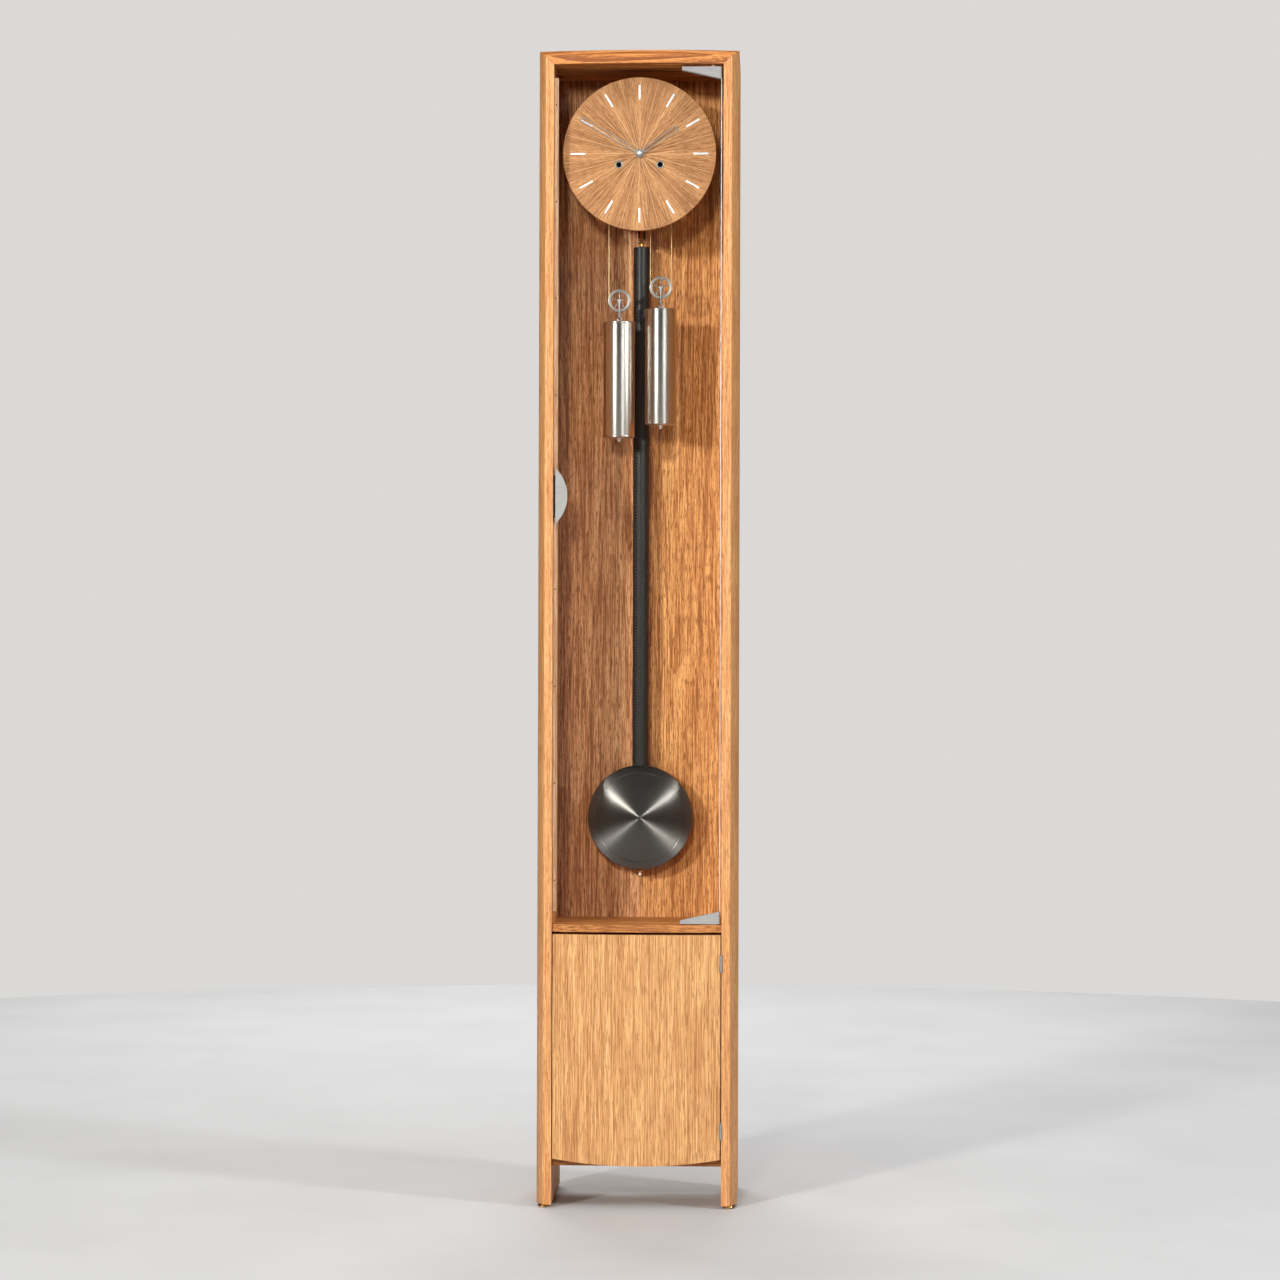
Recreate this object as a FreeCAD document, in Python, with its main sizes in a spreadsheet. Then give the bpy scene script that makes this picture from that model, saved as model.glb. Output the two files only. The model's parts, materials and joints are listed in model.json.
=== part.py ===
import FreeCAD, Part
import Sketcher
import math
import os
import re

# Slim oak longcase clock. Millimetres, +Z up, the front faces -Y.
# Origin: on the floor under the middle of the case.

doc = FreeCAD.newDocument("LongcaseClock")
Vector = FreeCAD.Vector
Rotation = FreeCAD.Rotation

SIZES = [
    ("case_width", 310), ("case_depth", 224), ("case_height", 1789),
    ("side_thick", 24), ("bow_rise", 12), ("bevel_wide", 11), ("bevel_deep", 22),
    ("panel_lift", 5), ("back_inset", 26), ("back_thick", 12),
    ("shelf_top", 437), ("shelf_thick", 12), ("shelf_inset", 5),
    ("floor_low", 62), ("floor_thick", 18), ("floor_inset", 34),
    ("door_gap", 1.6), ("door_thick", 27), ("door_setback", 2), ("door_arc_rise", 10),
    ("door_low", 66), ("door_head_gap", 3.5),
    ("butt_length", 26), ("butt_leaf", 1.2), ("butt_wide", 15), ("knuckle_radius", 2.2),
    ("butt_pin_radius", 1.0), ("butt_inset", 44), ("running_gap", 0.05), ("part_gap", 0.3),
    ("glass_thick", 6), ("glass_setback", 18), ("glass_side_gap", 2.5), ("glass_hinge_gap", 2.5),
    ("glass_foot_gap", 3), ("glass_head_gap", 5.6), ("glass_bead_gap", 0.6),
    ("grip_fold", 1), ("grip_lip", 2.6), ("grip_lip_thick", 0.4),
    ("patch_length", 61), ("patch_tip", 3.4), ("patch_end", 17.5), ("patch_plate", 2.5), ("patch_side_gap", 0.9),
    ("patch_cap", 2), ("pivot_inset", 14), ("pivot_radius", 2), ("bush_radius", 4), ("bush_depth", 10),
    ("bush_flange", 0.9), ("bush_flange_wide", 1.5),
    ("grip_height", 1098), ("grip_chord", 86), ("grip_rise", 18.5), ("grip_sheet", 1.5),
    ("magnet_length", 64), ("magnet_thick", 3), ("magnet_deep", 7.5), ("magnet_lead", 1),
    ("bead_wide", 6.4), ("bead_deep", 7.5), ("bead_end_gap", 19),
    ("strike_inset", 20), ("strike_long", 30), ("strike_thick", 1.5), ("strike_tall", 14), ("strike_drop", 22),
    ("catch_inset", 22), ("catch_long", 26), ("catch_deep", 14), ("catch_tall", 16), ("catch_gap", 1.8),
    ("dial_drop", 134), ("dial_setback", 46), ("dial_radius", 119), ("dial_thick", 9),
    ("dial_bore", 5.8), ("baton_long", 23), ("baton_wide", 3), ("baton_thick", 1), ("baton_margin", 12),
    ("foot_gap", 10), ("plate_half", 50), ("plate_rise", 60), ("plate_fall", 66), ("plate_thick", 2.5),
    ("plate_space", 57), ("pillar_radius", 5), ("pillar_inset", 8),
    ("arbor_radius", 2), ("cannon_radius", 3.2), ("hour_pipe_radius", 5), ("hand_thick", 1.4),
    ("hour_hub", 6.8), ("minute_hub", 5.4), ("hour_lift", 4.2), ("hand_space", 2.4), ("hand_nut_tall", 2.8),
    ("hand_nut_wide", 1.2),
    ("minute_reach", 106), ("hour_reach", 70), ("hand_half", 4), ("hand_line", 1.4),
    ("motion_module", 0.75), ("motion_layer", 2), ("stud_radius", 2),
    ("drum_x", 32), ("drum_fall", 16.8), ("drum_depth", 24.5), ("drum_radius", 16.2), ("drum_long", 26),
    ("cable_radius", 0.7), ("cable_wrap", 17), ("wind_radius", 2.5), ("wind_bush", 6.2), ("wind_bore", 4.2),
    ("wind_lip", 0.8), ("wind_shoulder", 1), ("drum_flange", 4.8), ("drum_flange_thick", 2), ("cable_hole", 5),
    ("anchor_radius", 2),
    ("pulley_wrap", 16.5), ("pulley_thick", 5), ("axle_radius", 1.5), ("pulley_hub", 3.4), ("spoke_radius", 0.9),
    ("strike_fall", 207), ("time_fall", 186.7), ("weight_radius", 24.5), ("weight_long", 182.4),
    ("hanger_long", 33), ("anchor_z", 12), ("strap_wide", 6), ("strap_thick", 1.2), ("strap_gap", 0.4),
    ("strap_drop", 24), ("strap_rise", 4), ("hanger_bridge", 3.5), ("stem_radius", 1.6), ("stem_start", 21),
    ("bolt_radius", 2.5), ("bolt_head", 5), ("bolt_head_tall", 3.5), ("dial_foot_x", 38), ("dial_foot_z", 45),
    ("dial_foot_radius", 3.5),
    ("seat_half", 60), ("seat_thick", 12), ("seat_front", 3), ("seat_back", 5),
    ("cheek_thick", 12), ("cheek_tall", 24),
    ("swing_rise", 25), ("swing_clear", 28), ("leader_top", 15), ("leader_long", 131.6), ("leader_half", 2.5),
    ("leader_thick", 2), ("leader_rod_x", 4.2), ("leader_rod_radius", 1.2), ("yoke_tall", 5.6),
    ("yoke_half", 6.3), ("neck_radius", 3), ("neck_long", 6), ("rod_radius", 12.8), ("rod_long", 842.4),
    ("head_tall", 4), ("head_thick", 3), ("yoke_thick", 6), ("slot_wide", 2.3), ("slot_tall", 10), ("spring_wide", 8),
    ("spring_thick", 0.4), ("spring_grip", 2.9),
    ("bob_radius", 82.5), ("bob_drop", 1059.5), ("bob_half", 19), ("bob_rim_half", 12.6),
    ("bob_ring", 70), ("bob_ring_half", 15), ("screw_radius", 2), ("nut_radius", 4.4), ("nut_tall", 4.4),
    ("screw_tail", 9.4),
    ("escape_drop", 19), ("escape_radius", 12), ("escape_behind", 46), ("escape_thick", 1.6),
    ("crutch_long", 50), ("crutch_wide", 3), ("crutch_thick", 2), ("crutch_behind", 8), ("crutch_pin", 1),
    ("crutch_pin_long", 14), ("anchor_arbor", 1.5), ("escape_arbor_radius", 1), ("cock_wide", 40), ("cock_tall", 21),
    ("cock_drop", 8), ("cock_thick", 3), ("cock_arm_wide", 28), ("cock_arm_tall", 10), ("cock_arm_rise", 3),
    ("cock_reach", 6), ("bell_radius", 32), ("bell_tall", 24), ("bell_wall", 1.6), ("bell_rise", 74),
    ("hammer_x", 44), ("hammer_rise", 38), ("hammer_arm", 40), ("hammer_gap", 0.8), ("hammer_head", 3.5),
    ("hammer_strip", 3), ("hammer_behind", 5), ("hammer_hub_radius", 2.5), ("hammer_hub_long", 7),
    ("pad_radius", 9), ("pad_tall", 4.2), ("foot_stud", 3), ("foot_stud_long", 24), ("foot_inset", 12),
    ("foot_front", 24), ("foot_back", 20),
]

sheet = doc.addObject("Spreadsheet::Sheet", "Sizes")
for row, (alias, number) in enumerate(SIZES, 1):
    sheet.set(f"A{row}", alias.replace("_", " "))
    sheet.set(f"B{row}", str(number))
    sheet.setAlias(f"B{row}", alias)
doc.recompute()

# Every alias has an underscore, so words with one are sizes from the sheet.
ALIAS = re.compile(r"\b([a-z]+(?:_[a-z]+)+)\b")


def cells(rule):
    """The rule as a FreeCAD expression that reads the sheet."""
    return ALIAS.sub(r"Sizes.\1", str(rule))


def value(rule):
    """The number that a rule gives with the sheet's present sizes."""
    return float(sheet.evalExpression(cells(rule)))


def bind(thing, prop, rule):
    thing.setExpression(prop, cells(rule))


def place(thing, at, turn=None):
    """Bind a piece's position; turn is a fixed rotation."""
    if turn is not None:
        thing.Placement = FreeCAD.Placement(Vector(), turn)
    for letter, rule in zip("xyz", at):
        bind(thing, f"Placement.Base.{letter}", rule)
    return thing


ALONG = {
    "Z": Rotation(),
    "Y": Rotation(Vector(1, 0, 0), -90),
    "X": Rotation(Vector(0, 1, 0), 90),
}


def box(name, low, size):
    thing = doc.addObject("Part::Box", name)
    for prop, rule in zip(("Length", "Width", "Height"), size):
        bind(thing, prop, rule)
    return place(thing, low)


def rod(name, at, along, radius, length):
    thing = doc.addObject("Part::Cylinder", name)
    bind(thing, "Radius", radius)
    bind(thing, "Height", length)
    return place(thing, at, ALONG[along])


def cut(name, base, *tools):
    thing = doc.addObject("Part::Cut", name)
    thing.Base = base
    thing.Tool = tools[0] if len(tools) == 1 else fuse(f"{name}_tools", *tools)
    return thing


def fuse(name, *shapes):
    thing = doc.addObject("Part::MultiFuse", name)
    thing.Shapes = list(shapes)
    return thing


def common(name, *shapes):
    thing = doc.addObject("Part::MultiCommon", name)
    thing.Shapes = list(shapes)
    return thing


def group(name, solids):
    """Identical pieces that share one node."""
    thing = doc.addObject("Part::Compound", name)
    thing.Links = list(solids)
    return thing


def tube(name, at, along, outer, inner, length):
    return cut(name, rod(f"{name}_outer", at, along, outer, length),
               rod(f"{name}_inner", at, along, inner, length))


def origin_plane(body, role):
    return next(item for item in body.Origin.OriginFeatures if item.Role == role)


def draw(sketch, corners):
    """Closed outline. A corner is (x, y) or (x, y, radius): an arc bulging right runs on from it."""
    spots = [Vector(value(corner[0]), value(corner[1]), 0) for corner in corners]
    first = sketch.GeometryCount
    count = len(corners)
    for step, corner in enumerate(corners):
        start, end = spots[step], spots[(step + 1) % count]
        if len(corner) == 2:
            sketch.addGeometry(Part.LineSegment(start, end))
            continue
        sketch.addGeometry(arc_between(start, end, value(corner[2])))
    for step, corner in enumerate(corners):
        this, after = first + step, first + (step + 1) % count
        sketch.addConstraint(Sketcher.Constraint("Coincident", this, 2, after, 1))
        if len(corner) == 3:
            held = sketch.addConstraint(Sketcher.Constraint("Radius", this, value(corner[2])))
            bind(sketch, f"Constraints[{held}]", corner[2])
        hold_point(sketch, this, corner, spots[step])


def arc_between(start, end, radius):
    """The short arc that bulges to the right of the way from start to end."""
    chord = end - start
    side = Vector(chord.y, -chord.x, 0).normalize()
    depth = math.sqrt(radius ** 2 - (chord.Length / 2) ** 2)
    middle = (start + end) / 2 + side * (radius - depth)
    return Part.Arc(start, middle, end)


def hold_point(sketch, geometry, corner, spot):
    for kind, rule, number in (("DistanceX", corner[0], spot.x), ("DistanceY", corner[1], spot.y)):
        held = sketch.addConstraint(Sketcher.Constraint(kind, -1, 1, geometry, 1, number))
        bind(sketch, f"Constraints[{held}]", rule)


def sketch_on(body, plane, loops):
    sketch = body.newObject("Sketcher::SketchObject", f"{body.Name}_outline")
    sketch.AttachmentSupport = (origin_plane(body, plane), "")
    sketch.MapMode = "FlatFace"
    for loop in loops:
        draw(sketch, loop)
    return sketch


def plate(name, plane, loops, thick, at):
    """A padded outline. From XZ_Plane it grows towards -Y, from XY_Plane +Z, from YZ_Plane +X."""
    body = doc.addObject("PartDesign::Body", name)
    pad = body.newObject("PartDesign::Pad", f"{name}_pad")
    pad.Profile = sketch_on(body, plane, loops)
    bind(pad, "Length", thick)
    return place(body, at)


def turned(name, profile, at, along="Z"):
    """A turned piece; profile corners are (radius, height along the axis)."""
    body = doc.addObject("PartDesign::Body", name)
    sketch = sketch_on(body, "XZ_Plane", [profile])
    turning = body.newObject("PartDesign::Revolution", f"{name}_turning")
    turning.Profile = sketch
    turning.ReferenceAxis = (sketch, ["V_Axis"])
    turning.Angle = 360
    return place(body, at, ALONG[along])


# ---- places that several pieces share ----
INNER_X = "(case_width / 2 - side_thick)"
FRONT_Y = "(0 - case_depth / 2)"
BOW_RADIUS = "(case_width ^ 2 / 8 / bow_rise + bow_rise / 2)"
BOW_CENTRE = f"({FRONT_Y} + {BOW_RADIUS})"
PANEL_Y = "(case_depth / 2 - back_inset - back_thick)"
CEILING = "(case_height - side_thick)"
SHELF_LOW = "(shelf_top - shelf_thick)"
GLASS_FRONT = f"({FRONT_Y} + glass_setback - glass_thick / 2)"
GLASS_MID = f"({FRONT_Y} + glass_setback)"
PIVOT_X = f"({INNER_X} - glass_hinge_gap - pivot_inset)"
DIAL_Z = f"({CEILING} - dial_drop)"
DIAL_FRONT = f"({FRONT_Y} + dial_setback)"
DIAL_REAR = f"({DIAL_FRONT} + dial_thick)"
PLATE_FRONT = f"({DIAL_REAR} + foot_gap)"
PLATE_INNER = f"({PLATE_FRONT} + plate_thick)"
REAR_INNER = f"({PLATE_INNER} + plate_space)"
REAR_OUTER = f"({REAR_INNER} + plate_thick)"
SEAT_TOP = f"({DIAL_Z} - plate_fall)"
SEAT_LOW = f"({SEAT_TOP} - seat_thick)"
DRUM_Z = f"({DIAL_Z} - drum_fall)"
DRUM_Y = f"({PLATE_INNER} + drum_depth)"
PULLEY_X = "(drum_x + cable_wrap - pulley_wrap)"
HOOK_X = f"({PULLEY_X} - pulley_wrap)"
HOOK_LOW = f"({SEAT_LOW} - anchor_z)"
SWING_Z = f"({DIAL_Z} + swing_rise)"
SWING_Y = f"({PANEL_Y} - swing_clear)"
BOB_Z = f"({SWING_Z} - bob_drop)"
ROD_TOP = f"({SWING_Z} - leader_top - leader_long - yoke_tall - neck_long)"
ROD_LOW = f"({ROD_TOP} - rod_long)"
DOOR_TOP = f"({SHELF_LOW} - door_head_gap)"
DOOR_REAR = f"({FRONT_Y} + door_setback + door_thick)"
BUTT_X = f"({INNER_X} - door_gap / 2)"
BUTT_Y = f"({FRONT_Y} + {BOW_RADIUS} - sqrt({BOW_RADIUS} ^ 2 - {INNER_X} ^ 2))"


def bow_y(across, inset="0"):
    """Depth of the bowed front, set back by inset, at a distance across from the middle."""
    return f"({BOW_CENTRE} - sqrt(({BOW_RADIUS} - {inset}) ^ 2 - ({across}) ^ 2))"


def bow_form(name, inset, low, tall):
    return rod(name, ("0", BOW_CENTRE, low), "Z", f"{BOW_RADIUS} - {inset}", tall)


# ---- oak case ----
def make_top():
    half = "case_width / 2"
    blank = plate("top_blank", "XZ_Plane",
                  [[(f"0 - {half}", "0"), (f"0 - {INNER_X}", "0 - side_thick"),
                    (INNER_X, "0 - side_thick"), (half, "0")]],
                  "case_depth", ("0", "case_depth / 2", "case_height"))
    upright = bow_form("top_bow", "0", CEILING, "side_thick - bevel_wide")
    slope = doc.addObject("Part::Cone", "top_slope")
    bind(slope, "Radius1", BOW_RADIUS)
    bind(slope, "Radius2", f"{BOW_RADIUS} - bevel_deep")
    bind(slope, "Height", "bevel_wide")
    place(slope, ("0", BOW_CENTRE, "case_height - bevel_wide"))
    bowed = common("top_bowed", blank, fuse("top_form", upright, slope))
    cut("top_board", bowed, rod("top_bush_hole", (PIVOT_X, GLASS_MID, CEILING), "Z", "bush_radius",
                                "bush_depth"))
    return blank


def side_outline(sign):
    """Right side seen from above; sign -1 gives the left one, drawn the other way round."""
    outer = "case_width / 2"
    flat_end = "(case_width / 2 - bevel_wide)"
    points = [(outer, "case_depth / 2"), (INNER_X, "case_depth / 2"),
              (INNER_X, bow_y(INNER_X), BOW_RADIUS), (flat_end, bow_y(flat_end)),
              (outer, bow_y(outer, "bevel_deep"))]
    if sign > 0:
        return points
    left = [(f"0 - {point[0]}", point[1]) for point in points]
    left[3] = (left[3][0], left[3][1], BOW_RADIUS)
    return list(reversed(left))


def foot_spots(sign):
    x = f"{sign} * (case_width / 2 - foot_inset)"
    return (("front", x, f"{FRONT_Y} + foot_front"), ("back", x, "case_depth / 2 - foot_back"))


def make_side(name, sign, top_blank):
    blank = plate(f"{name}_blank", "XY_Plane", [side_outline(sign)],
                  "case_height - panel_lift", ("0", "0", "panel_lift"))
    tools = [top_blank]
    for end, x, y in foot_spots(sign):
        tools.append(rod(f"{name}_{end}_hole", (x, y, "panel_lift"), "Z",
                         "foot_stud + running_gap", "foot_stud_long + part_gap"))
    if sign > 0:
        tools += butt_cuts("side", f"{INNER_X} - 0.5", "butt_leaf + 0.5")
    cut(name, blank, *tools)


def butt_levels():
    return (("low", "door_low + door_arc_rise + butt_inset"), ("high", f"{DOOR_TOP} - butt_inset"))


def butt_cuts(name, low_x, wide):
    """Leaf mortise and knuckle clearance at both butt hinges."""
    cuts = []
    for level, z in butt_levels():
        low = f"{z} - butt_length / 2"
        cuts.append(box(f"{name}_{level}_mortise", (low_x, f"{BUTT_Y} - 5", low),
                        (wide, "butt_wide + 5", "butt_length")))
        cuts.append(rod(f"{name}_{level}_relief", (BUTT_X, BUTT_Y, f"{low} - part_gap"), "Z",
                        "knuckle_radius + part_gap", "butt_length + 2 * part_gap"))
    return cuts


def inner_board(name, y, z, deep, tall, inset=None):
    board = box(name if inset is None else f"{name}_board", (f"0 - {INNER_X}", y, z),
                (f"2 * {INNER_X}", deep, tall))
    if inset is None:
        return board
    return common(name, board, bow_form(f"{name}_bow", inset, z, tall))


def make_boards():
    inner_board("back_panel", PANEL_Y, "floor_low", "back_thick", f"{CEILING} - floor_low")
    shelf = inner_board("shelf_blank", FRONT_Y, SHELF_LOW, f"{PANEL_Y} - {FRONT_Y}", "shelf_thick",
                        "shelf_inset")
    hole = rod("shelf_bush_hole", (PIVOT_X, GLASS_MID, "shelf_top - bush_depth"), "Z",
               "bush_radius", "bush_depth")
    cut("shelf", shelf, hole)
    inner_board("cupboard_floor", f"{FRONT_Y} + floor_inset", "floor_low",
                f"{PANEL_Y} - {FRONT_Y} - floor_inset", "floor_thick")


def make_feet():
    for side, sign in (("left", -1), ("right", 1)):
        for end, x, y in foot_spots(sign):
            turned(f"{end}_{side}_foot",
                   [("0", "0"), ("pad_radius", "0"), ("pad_radius", "pad_tall - 0.8"),
                    ("pad_radius - 0.8", "pad_tall"), ("foot_stud", "pad_tall"),
                    ("foot_stud", "panel_lift + foot_stud_long"), ("0", "panel_lift + foot_stud_long")],
                   (x, y, "0"))


# ---- cupboard door ----
def make_cupboard_door():
    half = f"({INNER_X} - door_gap)"
    arc = f"({half} ^ 2 / 2 / door_arc_rise + door_arc_rise / 2)"
    low = "door_low + door_arc_rise"
    blank = plate("door_blank", "XZ_Plane",
                  [[(f"0 - {half}", low, arc), (half, low), (half, DOOR_TOP), (f"0 - {half}", DOOR_TOP)]],
                  "door_thick", ("0", DOOR_REAR, "0"))
    bowed = common("door_bowed", blank, bow_form("door_bow", "door_setback", "0", SHELF_LOW))
    cuts = butt_cuts("door", f"{half} - butt_leaf", "butt_leaf + 0.5")
    cut("cupboard_door", bowed, *cuts)
    box("cupboard_strike", (f"0 - {half} + strike_inset", DOOR_REAR, f"{DOOR_TOP} - strike_drop"),
        ("strike_long", "strike_thick", "strike_tall"))


def make_butts():
    fixed = []
    moving = []
    for level, z in butt_levels():
        low = f"{z} - butt_length / 2"
        bore = rod(f"butt_bore_{level}", (BUTT_X, BUTT_Y, low), "Z",
                   "butt_pin_radius + running_gap", "butt_length")
        leaf = box(f"case_leaf_{level}", (INNER_X, BUTT_Y, low), ("butt_leaf", "butt_wide", "butt_length"))
        barrel = rod(f"case_barrel_{level}", (BUTT_X, BUTT_Y, f"{z} - butt_length / 6"), "Z",
                     "knuckle_radius", "butt_length / 3")
        room = []
        for part, start in (("a", low), ("b", f"{z} + butt_length / 6 - 0.1")):
            room.append(rod(f"case_room_{level}_{part}", (BUTT_X, BUTT_Y, start), "Z",
                            "knuckle_radius + part_gap", "butt_length / 3 + 0.1"))
        joined = fuse(f"case_joined_{level}", cut(f"case_leaf_clear_{level}", leaf, *room), barrel)
        fixed.append(cut(f"case_butt_{level}", joined, bore))
        half = f"({INNER_X} - door_gap)"
        leaf = box(f"door_leaf_{level}", (f"{half} - butt_leaf", BUTT_Y, low),
                   ("butt_leaf", "butt_wide", "butt_length"))
        gap = rod(f"door_room_{level}", (BUTT_X, BUTT_Y, f"{z} - butt_length / 6 - 0.1"), "Z",
                  "knuckle_radius + part_gap", "butt_length / 3 + 0.2")
        parts = [cut(f"door_leaf_clear_{level}", leaf, gap)]
        for part, start in (("a", low), ("b", f"{z} + butt_length / 6 + 0.1")):
            parts.append(rod(f"door_barrel_{level}_{part}", (BUTT_X, BUTT_Y, start), "Z",
                             "knuckle_radius", "butt_length / 3 - 0.1"))
        parts.append(rod(f"butt_pin_{level}", (BUTT_X, BUTT_Y, low), "Z", "butt_pin_radius", "butt_length"))
        moving.append(fuse(f"door_butt_{level}", *parts))
    group("cupboard_case_hinges", fixed)
    group("cupboard_door_hinges", moving)


def make_catch():
    box("cupboard_catch",
        (f"0 - {INNER_X} + door_gap + catch_inset", f"{DOOR_REAR} + catch_gap", f"{SHELF_LOW} - catch_tall"),
        ("catch_long", "catch_deep", "catch_tall"))


# ---- glass door ----
GLASS_X = f"(0 - {INNER_X} + glass_side_gap + grip_fold + 1)"
GLASS_END = f"({INNER_X} - glass_hinge_gap)"
GLASS_LOW = "(shelf_top + glass_foot_gap)"
GLASS_TOP = f"({CEILING} - glass_head_gap)"
GRIP_X = f"({GLASS_X} - grip_fold)"


def make_glass():
    box("door_glass", (GLASS_X, GLASS_FRONT, GLASS_LOW),
        (f"{GLASS_END} - {GLASS_X}", "glass_thick", f"{GLASS_TOP} - {GLASS_LOW}"))


def make_patch(name, edge, way):
    """Tapered clamp plates on both faces of the glass with the pivot pin; way is +1 at the head."""
    right = f"({GLASS_END} - patch_side_gap)"
    left = f"({right} - patch_length)"
    cap = f"{way} * patch_cap"
    outline = [(left, f"0 - {way} * patch_tip"), (right, f"0 - {way} * patch_end"),
               (right, cap), (left, cap)]
    if way < 0:
        outline.reverse()
    front = plate(f"{name}_front", "XZ_Plane", [outline], "patch_plate", ("0", GLASS_FRONT, edge))
    rear = plate(f"{name}_rear", "XZ_Plane", [outline], "patch_plate",
                 ("0", f"{GLASS_FRONT} + glass_thick + patch_plate", edge))
    low = edge if way > 0 else f"{edge} - patch_cap"
    bridge = box(f"{name}_bridge", (left, GLASS_FRONT, low), ("patch_length", "glass_thick", "patch_cap"))
    reach = f"bush_depth / 2 + {'glass_head_gap' if way > 0 else 'glass_foot_gap'} - patch_cap / 2"
    start = f"{edge} + patch_cap / 2" if way > 0 else f"{edge} - patch_cap / 2 - ({reach})"
    pin = rod(f"{name}_pin", (PIVOT_X, GLASS_MID, start), "Z", "pivot_radius", reach)
    fuse(name, front, rear, bridge, pin)


def make_bushes():
    bushes = []
    for name, foot, step in (("head", f"{CEILING} - bush_flange", f"{CEILING} - bush_flange"),
                             ("sill", "shelf_top - bush_depth", "shelf_top")):
        body = rod(f"{name}_bush_body", (PIVOT_X, GLASS_MID, foot), "Z", "bush_radius",
                   "bush_depth + bush_flange")
        flange = rod(f"{name}_bush_flange", (PIVOT_X, GLASS_MID, step), "Z", "bush_radius + bush_flange_wide",
                     "bush_flange")
        bore = rod(f"{name}_bush_bore", (PIVOT_X, GLASS_MID, foot), "Z",
                   "pivot_radius + running_gap", "bush_depth + bush_flange")
        bushes.append(cut(f"{name}_bush", fuse(f"{name}_bush_solid", body, flange), bore))
    group("door_bushes", bushes)


def make_grip():
    """Half-moon plate with a strip folded round the free edge of the glass."""
    arc = "(grip_chord ^ 2 / 8 / grip_rise + grip_rise / 2)"
    outline = [("0", "0 - grip_chord / 2", arc), ("0", "grip_chord / 2")]
    front = plate("grip_front", "XZ_Plane", [outline], "grip_sheet", (GRIP_X, GLASS_FRONT, "grip_height"))
    rear = box("grip_rear", (GRIP_X, f"{GLASS_FRONT} + glass_thick", "grip_height - grip_chord / 2"),
               ("grip_lip", "grip_lip_thick", "grip_chord"))
    fold = box("grip_fold", (GRIP_X, f"{GLASS_FRONT} - grip_sheet", "grip_height - grip_chord / 2"),
               ("grip_fold", "glass_thick + grip_sheet + grip_lip_thick", "grip_chord"))
    fuse("door_handle", front, rear, fold)
    box("handle_magnet", (f"0 - {INNER_X}", f"{GLASS_FRONT} - magnet_lead", "grip_height - magnet_length / 2"),
        ("magnet_thick", "magnet_deep", "magnet_length"))


def make_bead():
    box("stop_bead",
        (f"0 - {INNER_X}", f"{GLASS_FRONT} + glass_thick + glass_bead_gap", "shelf_top + bead_end_gap"),
        ("bead_wide", "bead_deep", f"{CEILING} - shelf_top - 2 * bead_end_gap"))


# ---- dial and hands ----
def make_dial():
    board = rod("dial_board", ("0", DIAL_FRONT, DIAL_Z), "Y", "dial_radius", "dial_thick")
    holes = [rod("dial_centre_hole", ("0", DIAL_FRONT, DIAL_Z), "Y", "dial_bore", "dial_thick")]
    bushes = []
    for side, sign in (("strike", -1), ("time", 1)):
        x = f"{sign} * drum_x"
        holes.append(rod(f"dial_{side}_hole", (x, DIAL_FRONT, DRUM_Z), "Y",
                         "wind_bush - wind_shoulder", "dial_thick"))
        sleeve = rod(f"{side}_sleeve", (x, DIAL_FRONT, DRUM_Z), "Y", "wind_bush - wind_shoulder", "dial_thick")
        lip = rod(f"{side}_lip", (x, f"{DIAL_FRONT} - wind_lip", DRUM_Z), "Y", "wind_bush", "wind_lip")
        bore = rod(f"{side}_bore", (x, f"{DIAL_FRONT} - wind_lip", DRUM_Z), "Y", "wind_bore",
                   "dial_thick + wind_lip")
        bushes.append(cut(f"{side}_bush", fuse(f"{side}_bush_solid", sleeve, lip), bore))
    cut("dial", board, *holes)
    group("winding_bushes", bushes)


def make_batons():
    marks = []
    for hour in range(12):
        angle = hour * 30
        mark = doc.addObject("Part::Box", f"baton_{hour + 1}")
        bind(mark, "Length", "baton_wide")
        bind(mark, "Width", "baton_thick")
        bind(mark, "Height", "baton_long")
        sine, cosine = math.sin(math.radians(angle)), math.cos(math.radians(angle))
        inner = "(dial_radius - baton_margin - baton_long)"
        place(mark, (f"{inner} * {sine:.9f} - baton_wide / 2 * {cosine:.9f}",
                     f"{DIAL_FRONT} - baton_thick",
                     f"{DIAL_Z} + {inner} * {cosine:.9f} + baton_wide / 2 * {sine:.9f}"),
              Rotation(Vector(0, 1, 0), angle))
        marks.append(mark)
    group("dial_batons", marks)


def hand_loops(reach, hub):
    """Open blade: two slim bars that spread a little towards the square tip."""
    spread = "(hand_half * 0.8)"
    outer = [(f"0 - {spread}", f"{hub} - 2"), (spread, f"{hub} - 2"), ("hand_half", reach),
             ("0 - hand_half", reach)]
    inner = [(f"hand_line - {spread}", f"{hub} + 2"), ("hand_line - hand_half", f"{reach} - 2"),
             ("hand_half - hand_line", f"{reach} - 2"), (f"{spread} - hand_line", f"{hub} + 2")]
    return [outer, inner]


def make_hand(name, reach, hub, bore, rear, angle):
    blade = plate(f"{name}_blade", "XZ_Plane", hand_loops(reach, hub), "hand_thick", ("0", rear, DIAL_Z))
    blade.Placement = FreeCAD.Placement(Vector(), Rotation(Vector(0, 1, 0), angle))
    place(blade, ("0", rear, DIAL_Z))
    ring = rod(f"{name}_ring", ("0", f"{rear} - hand_thick", DIAL_Z), "Y", hub, "hand_thick")
    hole = rod(f"{name}_hole", ("0", f"{rear} - hand_thick", DIAL_Z), "Y", bore, "hand_thick")
    cut(name, fuse(f"{name}_solid", blade, ring), hole)


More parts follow.
